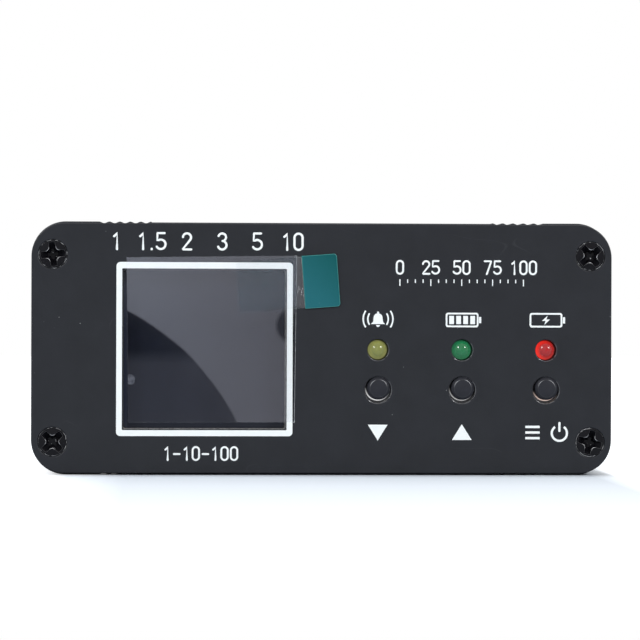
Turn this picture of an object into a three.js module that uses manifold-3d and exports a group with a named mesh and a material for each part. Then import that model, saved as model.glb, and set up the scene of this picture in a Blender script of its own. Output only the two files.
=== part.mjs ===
// A standing wave and power meter for radio work, in a split extruded aluminium case.
//
// Millimetres, +Z up. The front panel faces -Y, and X runs to the right as seen from the front.
// Z is zero at the underside, and the origin lies under the middle of the whole outline.
// Both halves of the case are one extrusion: the lower is the upper turned half round.

import * as THREE from 'three';
import { mergeVertices } from 'three/addons/utils/BufferGeometryUtils.js';
import Module from 'manifold-3d';

const wasm = await Module();
wasm.setup();

// Case

const caseWidth = 88;
const caseHeight = 38.3;
const caseLength = 100;
const caseCornerRadius = 5.2;
const wallThickness = 1.6;
const panelThickness = 2;
const panelInset = 0.28;
const cutOverrun = 1;

const midHeight = caseHeight / 2;
const halfWidth = caseWidth / 2;
const innerHalfWidth = halfWidth - wallThickness;
const innerHalfHeight = midHeight - wallThickness;
const innerCornerRadius = Math.max(caseCornerRadius - wallThickness, wallThickness / 2);
const frontEnd = -caseLength / 2;
const rearEnd = caseLength / 2;
const frontFace = frontEnd - panelThickness;
const rearFace = rearEnd + panelThickness;

// Seam and trim lines of the extrusion

const seamOffset = 2.28;
const seamGap = 0.3;
const tongueLength = 1.8;
const tongueThickness = (wallThickness - seamGap) / 2;
const sideNotchDepth = 0.2;
const sideNotchHalfHeight = 0.25;
const grooveCount = 5;
const grooveFromSide = 10.95;
const groovePitch = 1.58;
const grooveWidth = 1.3;
const grooveDepth = 0.25;
const middleZoneDrop = 0.1;

// Board slots and screw channels of the extrusion

const slotRibLength = 1.8;
const slotRibThickness = 1;
const screwFromSide = 3.25;
const screwFromTop = 5;
const channelWall = 1.1;

// Panel screws

const screwShankRadius = 1.2;
const screwClearance = 0.2;
const screwLength = 8;
const screwHeadRadius = 2.25;
const screwHeadHeight = 1.25;
const screwHeadRim = 0.2;
const screwSunk = 0.15;
const sinkClearance = 0.12;
const screwTipLength = 0.8;
const recessArm = 1.25;
const recessWidth = 0.72;
const recessDepth = 0.8;
const frontRecessTurns = [6, 45, 40, -15];
const rearRecessTurns = [20, -8, 33, 52];

const channelBoreRadius = screwShankRadius + screwClearance;
const screwX = halfWidth - screwFromSide;
const screwRise = midHeight - screwFromTop;

// Main board and how it lies in the slots

const boardThickness = 1.6;
const boardUnderside = 8;
const boardSideClearance = 0.3;
const slotClearance = 0.2;
const legBelowBoard = 1;

const boardTop = boardUnderside + boardThickness;
const boardHalfWidth = innerHalfWidth - boardSideClearance;
const legEnd = boardUnderside - legBelowBoard;

// Display and its window

const windowWidth = 24.4;
const windowFromSide = 13.93;
const windowFromTop = 7.35;
const windowFromBottom = 7.05;
const windowCornerRadius = 0.5;
const glassWidth = 26.16;
const glassAboveWindow = 1.3;
const glassBelowWindow = 4.02;
const glassThickness = 1.4;
const gasketThickness = 0.4;
const gasketBorder = 0.85;
const trayThickness = 1;
const trayLedge = 3;
const trayInset = 0.2;
const tapeBorder = 2.4;

const windowHeight = caseHeight - windowFromTop - windowFromBottom;
const displayX = windowFromSide + windowWidth / 2 - halfWidth;
const displayZ = windowFromBottom + windowHeight / 2;
const glassHeight = glassAboveWindow + windowHeight + glassBelowWindow;
const glassTop = displayZ + windowHeight / 2 + glassAboveWindow;
const glassBottom = glassTop - glassHeight;
const trayBottom = glassBottom + trayLedge;

// Front board, which carries the lamps and the switches

const frontBoardSetback = 3.7;
const frontBoardFromSide = 4.9;
const frontBoardBottom = 4.4;
const frontBoardFromTop = 2.5;
const frontBoardCornerRadius = 1;

const frontBoardWidth = 2 * (innerHalfWidth - frontBoardFromSide);
const frontBoardTop = caseHeight - frontBoardFromTop;
const frontBoardFace = frontEnd + frontBoardSetback;
const frontBoardBack = frontBoardFace + boardThickness;
const tapeThickness = frontBoardSetback - gasketThickness - glassThickness - trayThickness;

// Lamps and buttons

const columnCount = 3;
const firstColumnShare = 0.2795;
const columnSpacingShare = 0.2708;
const lampBelowMiddle = 0.15;
const lampRadius = 1.5;
const lampHoleClearance = 0.13;
const lampLength = 5.3;
const lampFlangeRadius = 1.9;
const lampFlangeThickness = 1;
const lampProud = 0.3;
const lampLeadPitch = 2.54;
const lampLeadWidth = 0.5;
const leadBehindBoard = 1.2;
const leadHoleClearance = 0.2;

const buttonBelowLamp = 6.07;
const buttonHoleRadius = 2.1;
const switchOffsetX = 0.12;
const switchOffsetZ = 0.25;
const switchSize = 6;
const switchBaseHeight = 3.2;
const switchCoverThickness = 0.3;
const switchCoverGap = 0.05;
const switchCoverTab = 1.6;
const switchCornerRadius = 0.5;
const switchFloor = 0.8;
const switchCavityRadius = 2.35;
const plungerRadius = 1.7;
const plungerTopRadius = 1.45;
const plungerEdgeDrop = 0.2;
const plungerHeight = 6;
const plungerHoleClearance = 0.2;
const plungerFlangeRadius = 2.1;
const plungerFlangeThickness = 0.7;
const plungerFlangeGap = 0.1;
const plungerNubRadius = 0.8;
const domeHeight = 0.4;
const domeRimClearance = 0.15;
const mouldedDepth = 0.3;
const nubAboveDome = 0.32;
const switchLegThickness = 0.3;
const switchLegWidth = 0.7;
const switchLegRise = 1;
const switchLegReach = 0.25;
const switchLegSpacing = 4.5;

const fieldStart = displayX + glassWidth / 2;
const fieldWidth = innerHalfWidth - fieldStart;
const lampZ = midHeight - lampBelowMiddle;
const buttonHoleZ = lampZ - buttonBelowLamp;
const switchZ = buttonHoleZ + switchOffsetZ;
const lampHoleRadius = lampRadius + lampHoleClearance;
const buttonProud = plungerHeight - frontBoardSetback - panelThickness;
const lampBase = frontFace - lampProud + lampLength;
const frontLeadEnd = frontBoardBack + leadBehindBoard;

// Protective film and its pull tab

const filmExtraWidth = 0.9;
const filmExtraHeight = 1.2;
const filmShiftX = 1.11;
const filmShiftZ = 1.55;
const filmThickness = 0.1;
const filmGap = 0.06;
const tabTurn = -4.6;
const stripLength = 9.9;
const stripHeight = 7.75;
const stripThickness = 0.08;
const tabLength = 4.9;
const tabHeight = 8.25;
const tabThickness = 0.14;
const tabPastFilm = 4.09;
const tabBelowFilmTop = 3.92;

const filmWidth = windowWidth + filmExtraWidth;
const filmHeight = windowHeight + filmExtraHeight;
const filmX = displayX + filmShiftX;
const filmZ = displayZ + filmShiftZ;
const tabX = filmX + filmWidth / 2 + tabPastFilm;
const tabZ = filmZ + filmHeight / 2 - tabBelowFilmTop;
const stripFace = frontFace - filmGap - filmThickness - stripThickness;
const frontReach = Math.max(buttonProud, lampProud, frontFace - stripFace + tabThickness - stripThickness);

// Radio frequency sockets on the rear panel

const socketShare = 0.54545;
const flangeSize = 25.4;
const flangeThickness = 2;
const flangeCornerRadius = 1.5;
const flangeHoleSpacing = 18.2;
const barrelRadius = 7.94;
const barrelLength = 13;
const barrelChamfer = 0.5;
const recessRadius = 6;
const recessFloorDepth = 8;
const rimNotchWidth = 1.6;
const rimNotchDepth = 0.9;
const spigotRadius = 5.9;
const spigotBehindPanel = 1.5;
const spigotClearance = 0.3;
const insulatorRadius = 4.8;
const insulatorClearance = 0.2;
const insulatorHeadThickness = 1.4;
const insulatorBehindSpigot = 1;
const contactRadius = 2.6;
const contactBoreRadius = 2;
const contactBoreDepth = 12;
const contactBelowRim = 4.6;
const contactClearance = 0.25;
const contactSlotWidth = 0.5;
const contactSlotDepth = 5;
const solderCupRadius = 1.6;
const solderCupDepth = 3;
const contactBehindInsulator = 3.8;

const socketScrewRadius = 1.45;
const socketScrewLength = 8;
const socketScrewHeadRadius = 2.75;
const socketScrewHeadHeight = 2;
const socketScrewDome = 0.9;
const socketHoleClearance = 0.22;
const nutAcrossFlats = 5.5;
const nutThickness = 2.4;
const firstScrewTurn = 10;
const screwTurnStep = 37;

const socketX = halfWidth * socketShare;
const rimFace = rearFace + flangeThickness + barrelLength;
const rearReach = rimFace - rearFace;
const socketZ = midHeight;
const recessFloor = rimFace - recessFloorDepth;
const spigotEnd = rearEnd - spigotBehindPanel;
const insulatorEnd = spigotEnd - insulatorBehindSpigot;
const contactTip = rimFace - contactBelowRim;
const contactEnd = insulatorEnd - contactBehindInsulator;
const socketHoleRadius = socketScrewRadius + socketHoleClearance;
const socketScrewEnd = rearFace + flangeThickness - socketScrewLength;

// Charging socket

const portWidth = 8.94;
const portHeight = 3.26;
const portLength = 7.35;
const portWall = 0.3;
const portCornerRadius = 1.35;
const portGapToPanel = 0.3;
const portTongueWidth = 6.6;
const portTongueThickness = 0.7;
const portTongueSetback = 1.2;
const portBlockLength = 2.2;
const portBlockClearance = 0.05;

const portZ = boardTop + portHeight / 2;

// Outline of the main board

const boardFrontClearance = 2.2;
const boardRearSetback = 1;
const boardTabClearance = 0.3;
const boardTabSideGap = 1;
const boardFront = frontBoardBack + boardFrontClearance;
const boardRear = socketScrewEnd - boardRearSetback;
const boardTabRear = rearEnd - boardTabClearance;
const boardTabHalfWidth = socketX - flangeHoleSpacing / 2 - nutAcrossFlats / Math.sqrt(3) - boardTabSideGap;

// Header between the boards

const headerPins = 8;
const headerPinSpacing = 2.54;
const headerBlock = 2.5;
const headerPinWidth = 0.64;
const headerPinFront = 0.55;
const headerPinBehind = 1.2;
const headerSetback = 0.2;

const headerFront = boardFront + headerSetback;
const headerPinZ = boardTop + headerBlock / 2;
const headerWidth = headerPins * headerPinSpacing;

// Display ribbon and its connector

const ribbonWidth = 12;
const ribbonThickness = 0.15;
const ribbonFloorGap = 0.5;
const ribbonClearance = 0.12;
const ribbonOverlap = 1.8;
const ribbonBendRadius = 0.7;
const connectorWidth = 14;
const connectorHeight = 2.4;
const connectorDepth = 1.5;
const connectorRise = 0.5;

const connectorBottom = frontBoardBottom + connectorRise;

// Directional coupler

const coreOuterRadius = 9.1;
const coreInnerRadius = 4.8;
const coreWidth = 6;
const coreChamfer = 1;
const coreSeat = 0.3;
const coreFromLineEnd = 8;
const senseCoreFromSocket = 3;
const coreSpacing = 12;
const windingTurns = 8;
const windingSweep = 250;
const wireRadius = 0.3;
const wireClearance = 0.5;
const windingStepsPerTurn = 7;
const wireSides = 4;
const lineRadius = 0.8;
const lineSides = 6;
const lineSteps = 16;
const lineGap = 0.3;
const lineBend = 3.6;
const senseLineReach = 6;

const senseCoreX = socketX - senseCoreFromSocket;
const coreZ = boardTop + coreSeat + coreOuterRadius;
const lineY = contactEnd - coreFromLineEnd;
const senseCoreY = lineY - coreSpacing;

// Rechargeable cell

const cellWidth = 34;
const cellLength = 50;
const cellThickness = 8;
const cellEdge = 1.4;
const cellFromSide = 3.4;
const cellFromFront = 12;
const padThickness = 0.8;
const padInset = 3;
const plugLength = 6.6;
const plugWidth = 5.6;
const plugHeight = 4.2;
const plugFit = 0.25;
const socketWall = 0.8;
const leadRadius = 0.6;
const leadSpacing = 2;
const leadGap = 0.3;
const plugX = 2;

const cellX = -boardHalfWidth + cellFromSide + cellWidth / 2;
const cellFront = boardFront + cellFromFront;
const cellBottom = boardTop + padThickness;
const plugY = cellFront - cellFromFront / 2;

// Chips and small parts

const chipSize = 7;
const chipThickness = 1.4;
const chipX = 14;
const chipFromFront = 24;
const chipChamfer = 0.6;
const smallPartLength = 2.4;
const smallPartWidth = 1.4;
const smallPartHeight = 0.9;
const smallPartPitch = 4;
const smallPartCount = 6;
const solderGap = 0.05;

// Fineness of the curves

const cornerSteps = 4;
const smallCornerSteps = 1;
const domeSteps = 4;
const portCornerSteps = 2;
const bendSteps = 18;
const holeSteps = 14;
const fineHoleSteps = 6;
const screwSteps = 10;
const latheSteps = 14;
const ringSteps = 20;
const coreSteps = 14;

// Finishes

const blackShell = { color: 0x30323a, roughness: 0.5, metalness: 0.55 };
const blackPanel = { color: 0x2c2e35, roughness: 0.42, metalness: 0.4 };
const blackSteel = { color: 0x1b1b1d, roughness: 0.35, metalness: 0.8 };
const blackPlastic = { color: 0x17171a, roughness: 0.45, metalness: 0 };
const darkGlass = { color: 0x20242c, roughness: 0.08, metalness: 0 };
const clearFilm = { color: 0x8d9096, roughness: 0.25, metalness: 0, transparent: true, opacity: 0.35 };
const tealFilm = { color: 0x25676e, roughness: 0.4, metalness: 0 };
const whitePlastic = { color: 0xe6e6e0, roughness: 0.5, metalness: 0 };
const foam = { color: 0x202022, roughness: 0.9, metalness: 0 };
const board = { color: 0x1f4a33, roughness: 0.5, metalness: 0 };
const nickel = { color: 0xb9b6ae, roughness: 0.3, metalness: 0.9 };
const tinned = { color: 0xc3c3c0, roughness: 0.4, metalness: 0.9 };
const gold = { color: 0xc79a45, roughness: 0.3, metalness: 0.9 };
const copper = { color: 0xa8552c, roughness: 0.35, metalness: 0.85 };
const ferrite = { color: 0x3a3a3c, roughness: 0.8, metalness: 0 };
const amber = { color: 0x84882e, roughness: 0.2, metalness: 0 };
const green = { color: 0x267441, roughness: 0.2, metalness: 0 };
const red = { color: 0xab3433, roughness: 0.2, metalness: 0 };
const orangeFilm = { color: 0xb0782a, roughness: 0.4, metalness: 0 };
const cellWrap = { color: 0x9a9ca0, roughness: 0.35, metalness: 0.4 };
const leadCover = { color: 0x8a1f1f, roughness: 0.5, metalness: 0 };

// Shared helpers

const toRadians = THREE.MathUtils.degToRad;
const across = new THREE.Vector3(1, 0, 0);
const back = new THREE.Vector3(0, 1, 0);
const up = new THREE.Vector3(0, 0, 1);
const forwards = new THREE.Vector3(0, -1, 0);
const standing = new THREE.Matrix4().makeBasis(across, up, forwards);
const lengthwise = new THREE.Matrix4().makeBasis(back, up, across);

// Merges shared corners and drops the flat triangles that a lathe leaves on its axis.
function closed(geometry) {
  const bare = geometry.clone();
  bare.deleteAttribute('normal');
  bare.deleteAttribute('uv');
  const merged = mergeVertices(bare);
  const corners = merged.index.array;
  const kept = [];
  for (let i = 0; i < corners.length; i += 3) {
    const [a, b, c] = corners.slice(i, i + 3);
    if (a !== b && b !== c && c !== a) kept.push(a, b, c);
  }
  merged.setIndex(kept);
  return merged;
}

function toSolid(geometry) {
  const merged = closed(geometry);
  const vertProperties = merged.attributes.position.array;
  const triVerts = new Uint32Array(merged.index.array);
  return new wasm.Manifold(new wasm.Mesh({ numProp: 3, vertProperties, triVerts }));
}

function toGeometry(solid) {
  const mesh = solid.getMesh();
  const geometry = new THREE.BufferGeometry();
  geometry.setAttribute('position', new THREE.BufferAttribute(mesh.vertProperties, mesh.numProp));
  geometry.setIndex(new THREE.BufferAttribute(mesh.triVerts, 1));
  return geometry;
}

function cut(geometry, cutters) {
  return toGeometry(cutters.reduce((rest, cutter) => rest.subtract(toSolid(cutter)), toSolid(geometry)));
}

function join(geometries) {
  const [first, ...others] = geometries.map(toSolid);
  return toGeometry(others.reduce((whole, next) => whole.add(next), first));
}

function moved(geometry, x, y, z) {
  return geometry.clone().translate(x, y, z);
}

function extrude(shape, depth, steps = cornerSteps) {
  return new THREE.ExtrudeGeometry(shape, { depth, bevelEnabled: false, curveSegments: steps });
}

// An outline in X and Z whose front face lies at Y zero and whose depth runs backwards.
function standUp(shape, depth, steps) {
  return extrude(shape, depth, steps).applyMatrix4(standing).translate(0, depth, 0);
}

// An outline in Y and Z, extruded along X and centred on it.
function layAcross(shape, width, steps) {
  return extrude(shape, width, steps).applyMatrix4(lengthwise).translate(-width / 2, 0, 0);
}

// Turns a profile of [radius, depth] points about the depth axis.
function turn(points, steps) {
  return new THREE.LatheGeometry(points.map(([radius, y]) => new THREE.Vector2(radius, y)), steps);
}

function drill(radius, from, to, steps) {
  return turn([[0, from], [radius, from], [radius, to], [0, to]], steps);
}

function roundedRectangle(width, height, radius) {
  const x = width / 2 - radius;
  const y = height / 2 - radius;
  const shape = new THREE.Shape();
  shape.absarc(x, y, radius, 0, Math.PI / 2);
  shape.absarc(-x, y, radius, Math.PI / 2, Math.PI);
  shape.absarc(-x, -y, radius, Math.PI, 3 * Math.PI / 2);
  shape.absarc(x, -y, radius, 3 * Math.PI / 2, 2 * Math.PI);
  return shape;
}

function polygon(points) {
  return new THREE.Shape(points.map(([x, y]) => new THREE.Vector2(x, y)));
}

function rectangle(left, bottom, right, top) {
  return polygon([[left, bottom], [right, bottom], [right, top], [left, top]]);
}

// A box between two corners.
function block(low, high) {
  const [width, depth, height] = high.map((value, axis) => value - low[axis]);
  const middle = high.map((value, axis) => (value + low[axis]) / 2);
  return new THREE.BoxGeometry(width, depth, height).translate(...middle);
}

// A regular polygon that stands for a circle.
function circle(radius, sides, x = 0, y = 0) {
  const points = [];
  for (let i = 0; i < sides; i++) {
    const angle = Math.PI * (2 * i + 1) / sides;
    points.push([x + radius * Math.cos(angle), y + radius * Math.sin(angle)]);
  }
  return polygon(points);
}

// A round bar along a curve.
function tube(curve, radius, sides, steps) {
  const section = circle(radius, sides);
  return new THREE.ExtrudeGeometry(section, { steps, bevelEnabled: false, extrudePath: curve });
}

// A strip of even thickness along a flat curve, as an outline.
function stripOutline(curve, thickness, steps) {
  const near = [];
  const far = [];
  for (let i = 0; i <= steps; i++) {
    const point = curve.getPoint(i / steps);
    const tangent = curve.getTangent(i / steps);
    const x = -tangent.y * thickness / 2;
    const y = tangent.x * thickness / 2;
    near.push([point.x + x, point.y + y]);
    far.unshift([point.x - x, point.y - y]);
  }
  return polygon([...near, ...far]);
}

// A cross with square arms, as a driver recess, cut from the front.
function crossRecess(arm, width, depth, degrees) {
  const w = width / 2;
  const cross = polygon([
    [arm, w], [w, w], [w, arm], [-w, arm], [-w, w], [-arm, w],
    [-arm, -w], [-w, -w], [-w, -arm], [w, -arm], [w, -w], [arm, -w],
  ]);
  return standUp(cross, depth + cutOverrun).translate(0, -cutOverrun, 0).rotateY(-toRadians(degrees));
}

const meter = new THREE.Group();
meter.position.y = (frontReach - rearReach) / 2;

function add(name, geometry, finish, x = 0, y = 0, z = 0) {
  const mesh = new THREE.Mesh(closed(geometry), new THREE.MeshStandardMaterial(finish));
  mesh.name = name;
  mesh.position.set(x, y, z);
  meter.add(mesh);
  return mesh;
}

// Case halves

function drawTrimGrooves(outline, firstX, step, height) {
  for (let i = 0; i < grooveCount; i++) {
    const x = firstX + i * step;
    outline.lineTo(x - grooveWidth / 2, height);
    outline.quadraticCurveTo(x, height - 2 * grooveDepth, x + grooveWidth / 2, height);
  }
}

function drawSideNotch(outline, x, inwards, height, rise) {
  outline.lineTo(x, height - rise * sideNotchHalfHeight);
  outline.lineTo(x + inwards * sideNotchDepth, height);
  outline.lineTo(x, height + rise * sideNotchHalfHeight);
}

// Half of the case in section about its own centre: left wall, roof and right wall.
function shellOutline() {
  const corner = caseCornerRadius;
  const innerCorner = innerCornerRadius;
  const grooveStart = halfWidth - grooveFromSide;
  const fieldEnd = grooveStart - (grooveCount - 0.5) * groovePitch;
  const middle = midHeight - middleZoneDrop;
  const lipTop = seamOffset + tongueLength + seamGap;
  const roof = innerHalfHeight - innerCorner;
  const outline = new THREE.Shape();
  outline.moveTo(-halfWidth + sideNotchDepth, -seamOffset);
  outline.lineTo(-halfWidth, -seamOffset + sideNotchHalfHeight);
  drawSideNotch(outline, -halfWidth, 1, seamOffset, 1);
  outline.absarc(-halfWidth + corner, midHeight - corner, corner, Math.PI, Math.PI / 2, true);
  drawTrimGrooves(outline, -grooveStart, groovePitch, midHeight);
  outline.lineTo(-fieldEnd, midHeight);
  outline.lineTo(-fieldEnd, middle);
  outline.lineTo(fieldEnd, middle);
  outline.lineTo(fieldEnd, midHeight);
  drawTrimGrooves(outline, grooveStart - (grooveCount - 1) * groovePitch, groovePitch, midHeight);
  outline.absarc(halfWidth - corner, midHeight - corner, corner, Math.PI / 2, 0, true);
  outline.lineTo(halfWidth, seamOffset + sideNotchHalfHeight);
  outline.lineTo(halfWidth - sideNotchDepth, seamOffset);
  outline.lineTo(halfWidth - tongueThickness, seamOffset);
  outline.lineTo(halfWidth - tongueThickness, lipTop);
  outline.lineTo(innerHalfWidth, lipTop);
  outline.absarc(innerHalfWidth - innerCorner, roof, innerCorner, 0, Math.PI / 2);
  outline.absarc(-innerHalfWidth + innerCorner, roof, innerCorner, Math.PI / 2, Math.PI);
  outline.lineTo(-innerHalfWidth, -seamOffset - tongueLength);
  outline.lineTo(-innerHalfWidth - tongueThickness, -seamOffset - tongueLength);
  outline.lineTo(-innerHalfWidth - tongueThickness, -seamOffset);
  outline.closePath();
  return outline;
}

// The ribs above and below one board slot, reaching in from a side wall, measured down from mid height.
function slotRibs(side) {
  const slotBottom = midHeight - boardUnderside;
  const slotTop = slotBottom - boardThickness - slotClearance;
  const root = side * (innerHalfWidth + wallThickness / 2);
  const tip = side * (innerHalfWidth - slotRibLength);
  const left = Math.min(root, tip);
  const right = Math.max(root, tip);
  const ribs = [[slotBottom, slotBottom + slotRibThickness], [slotTop - slotRibThickness, slotTop]];
  return ribs.map(([low, high]) => standUp(rectangle(left, low, right, high), caseLength));
}

function shell() {
  const parts = [standUp(shellOutline(), caseLength)];
  const bores = [];
  for (const side of [-1, 1]) {
    const boss = standUp(circle(channelBoreRadius + channelWall, screwSteps), caseLength);
    parts.push(boss.translate(side * screwX, 0, screwRise), ...slotRibs(side));
    const bore = drill(channelBoreRadius, -cutOverrun, caseLength + cutOverrun, screwSteps);
    bores.push(bore.translate(side * screwX, 0, screwRise));
  }
  return cut(join(parts), bores);
}

function addCase() {
  const half = shell();
  add('upper_shell', half, blackShell, 0, frontEnd, midHeight);
  const lower = add('lower_shell', half, blackShell, 0, frontEnd, midHeight);
  lower.rotation.y = Math.PI;
}

// End panels and their screws

const panelWidth = caseWidth - 2 * panelInset;
const panelHeight = caseHeight - 2 * panelInset;
const panelCornerRadius = caseCornerRadius - panelInset;
const sinkRadius = screwHeadRadius + sinkClearance;
const panelHoleRadius = screwShankRadius + screwClearance;
const corners = [[-1, 1], [-1, -1], [1, 1], [1, -1]];

function panelOutline() {
  return roundedRectangle(panelWidth, panelHeight, panelCornerRadius);
}

// A countersink from a face at depth zero into the panel.
function countersink() {
  const rim = screwSunk + screwHeadRim + sinkClearance;
  const coneEnd = screwSunk + screwHeadHeight + sinkClearance;
  const end = panelThickness + cutOverrun;
  return turn([
    [0, -cutOverrun], [sinkRadius, -cutOverrun], [sinkRadius, rim],
    [panelHoleRadius, coneEnd], [panelHoleRadius, end], [0, end],
  ], holeSteps);
}

function cornerSinks() {
  return corners.map(([sideX, sideZ]) => moved(countersink(), sideX * screwX, 0, sideZ * screwRise));
}

// A countersunk screw whose head's face lies at depth zero.
function panelScrew(degrees) {
  const body = turn([
    [0, 0], [screwHeadRadius, 0], [screwHeadRadius, screwHeadRim], [screwShankRadius, screwHeadHeight],
    [screwShankRadius, screwLength - screwTipLength], [0, screwLength],
  ], screwSteps);
  return cut(body, [crossRecess(recessArm, recessWidth, recessDepth, degrees)]);
}

// The screws of one panel, whose outer face lies at the given depth and looks along the given direction.
function addPanelScrews(panel, face, facing, turns) {
  corners.forEach(([sideX, sideZ], i) => {
    const x = sideX * screwX;
    const y = face - facing * screwSunk;
    const z = midHeight + sideZ * screwRise;
    const screw = add(`${panel}_screw_${i + 1}`, panelScrew(turns[i]), blackSteel, x, y, z);
    screw.rotation.z = facing > 0 ? Math.PI : 0;
  });
}

function columnX(index) {
  return fieldStart + fieldWidth * (firstColumnShare + index * columnSpacingShare);
}

function addFrontPanel() {
  const cutterDepth = panelThickness + 2 * cutOverrun;
  const outline = roundedRectangle(windowWidth, windowHeight, windowCornerRadius);
  const window = standUp(outline, cutterDepth, smallCornerSteps);
  const cutters = [...cornerSinks(), window.translate(displayX, -cutOverrun, displayZ - midHeight)];
  for (let i = 0; i < columnCount; i++) {
    const lampHole = drill(lampHoleRadius, -cutOverrun, panelThickness + cutOverrun, holeSteps);
    const buttonHole = drill(buttonHoleRadius, -cutOverrun, panelThickness + cutOverrun, holeSteps);
    cutters.push(lampHole.translate(columnX(i), 0, lampZ - midHeight));
    cutters.push(buttonHole.translate(columnX(i), 0, buttonHoleZ - midHeight));
  }
  const panel = cut(standUp(panelOutline(), panelThickness), cutters);
  add('front_panel', panel, blackPanel, 0, frontFace, midHeight);
  addPanelScrews('front', frontFace, -1, frontRecessTurns);
}

function socketPlaces() {
  return [['antenna', -socketX], ['transmitter', socketX]];
}

function flangeHolePlaces() {
  const reach = flangeHoleSpacing / 2;
  return corners.map(([sideX, sideZ]) => [sideX * reach, sideZ * reach]);
}

// The rear panel is drawn with its inner face at depth zero.
function addRearPanel() {
  const cutters = cornerSinks().map((sink) => sink.rotateZ(Math.PI).translate(0, panelThickness, 0));
  const span = [-cutOverrun, panelThickness + cutOverrun];
  for (const [, x] of socketPlaces()) {
    const spigotHole = drill(spigotRadius + spigotClearance, ...span, holeSteps);
    cutters.push(spigotHole.translate(x, 0, socketZ - midHeight));
    for (const [holeX, holeZ] of flangeHolePlaces()) {
      const hole = drill(socketHoleRadius, ...span, fineHoleSteps);
      cutters.push(hole.translate(x + holeX, 0, socketZ - midHeight + holeZ));
    }
  }
  const slotWidth = portWidth + 2 * portGapToPanel;
  const slotHeight = portHeight + 2 * portGapToPanel;
  const slotOutline = roundedRectangle(slotWidth, slotHeight, portCornerRadius + portGapToPanel);
  const slot = standUp(slotOutline, span[1] - span[0], portCornerSteps);
  cutters.push(slot.translate(0, -cutOverrun, portZ - midHeight));
  const panel = cut(standUp(panelOutline(), panelThickness), cutters);
  add('rear_panel', panel, blackPanel, 0, rearEnd, midHeight);
  addPanelScrews('rear', rearFace, 1, rearRecessTurns);
}

// Display stack

function frame(width, height, border, depth) {
  const outline = roundedRectangle(width, height, windowCornerRadius);
  outline.holes.push(roundedRectangle(width - 2 * border, height - 2 * border, windowCornerRadius));
  return standUp(outline, depth, smallCornerSteps);
}

function plate(width, height, depth) {
  return standUp(roundedRectangle(width, height, windowCornerRadius), depth, smallCornerSteps);
}

function addDisplay() {
  const glassFace = frontEnd + gasketThickness;
  const trayFace = glassFace + glassThickness;
  const tapeFace = trayFace + trayThickness;
  const trayWidth = glassWidth - 2 * trayInset;
  const trayHeight = glassTop - trayBottom - trayInset;
  const trayZ = trayBottom + trayHeight / 2;
  const glassZ = (glassTop + glassBottom) / 2;
  const gasketWidth = windowWidth + 2 * gasketBorder;
  const gasketHeight = windowHeight + 2 * gasketBorder;
  add('display_gasket', frame(gasketWidth, gasketHeight, gasketBorder, gasketThickness), foam,
    displayX, frontEnd, displayZ);
  const glass = plate(glassWidth, glassHeight, glassThickness);
  const tray = plate(trayWidth, trayHeight, trayThickness);
  const tape = frame(trayWidth, trayHeight, tapeBorder, tapeThickness);
  add('display_glass', glass, darkGlass, displayX, glassFace, glassZ);
  add('display_tray', tray, whitePlastic, displayX, trayFace, trayZ);
  add('display_tape', tape, foam, displayX, tapeFace, trayZ);
}

// The ribbon runs from the back of the glass, under the front board, up into its connector.
function addRibbon() {
  const start = frontEnd + gasketThickness + glassThickness + ribbonClearance + ribbonThickness / 2;
  const low = wallThickness + ribbonFloorGap;
  const end = frontBoardBack + connectorDepth / 2;
  const bend = ribbonBendRadius;
  const path = new THREE.Path();
  path.moveTo(start, glassBottom + ribbonOverlap);
  path.lineTo(start, low + bend);
  path.quadraticCurveTo(start, low, start + bend, low);
  path.lineTo(end - bend, low);
  path.quadraticCurveTo(end, low, end, low + bend);
  path.lineTo(end, connectorBottom - ribbonClearance);
  const outline = stripOutline(path, ribbonThickness, bendSteps);
  add('display_ribbon', layAcross(outline, ribbonWidth), orangeFilm, displayX);
}

// Protective film and its pull tab

function addFilm() {
  const film = plate(filmWidth, filmHeight, filmThickness);
  add('screen_film', film, clearFilm, filmX, frontFace - filmGap - filmThickness, filmZ);
  const strip = standUp(rectangle(-stripLength, -stripHeight / 2, 0, stripHeight / 2), stripThickness);
  const tab = plate(tabLength, tabHeight, tabThickness);
  const turned = toRadians(tabTurn);
  const jointX = tabX - tabLength / 2 * Math.cos(turned);
  const jointZ = tabZ + tabLength / 2 * Math.sin(turned);
  add('tab_strip', strip, clearFilm, jointX - filmGap, stripFace, jointZ).rotation.y = turned;
  add('pull_tab', tab, tealFilm, tabX, stripFace + stripThickness - tabThickness, tabZ).rotation.y = turned;
}

// Lamps

function lamp() {
  const profile = [];
  for (let i = 0; i <= domeSteps; i++) {
    const angle = Math.PI / 2 * i / domeSteps;
    profile.push([lampRadius * Math.sin(angle), lampRadius - lampRadius * Math.cos(angle)]);
  }
  const flangeFront = lampLength - lampFlangeThickness;
  profile.push([lampRadius, flangeFront], [lampFlangeRadius, flangeFront]);
  profile.push([lampFlangeRadius, lampLength], [0, lampLength]);
  return turn(profile, latheSteps);
}

// The two leads are cast into the lamp's foot and run on behind the front board.
function lampLeads() {
  const half = lampLeadWidth / 2;
  const end = lampLength + frontLeadEnd - lampBase;
  return [-1, 1].map((side) => {
    const x = side * lampLeadPitch / 2;
    return block([x - half, lampLength - lampFlangeThickness, -half], [x + half, end, half]);
  });
}

function addLamps() {
  const finishes = { amber, green, red };
  Object.entries(finishes).forEach(([name, finish], i) => {
    add(`lamp_${name}`, join([lamp(), ...lampLeads()]), finish, columnX(i), frontFace - lampProud, lampZ);
  });
}

// Push switches, drawn with the board's face at depth zero and the front towards -Y

const switchBackHeight = switchSize - 2 * (switchCoverThickness + switchCoverGap);
const coverFace = -switchBaseHeight - switchCoverThickness;
const domeTop = switchFloor + domeHeight;

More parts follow.
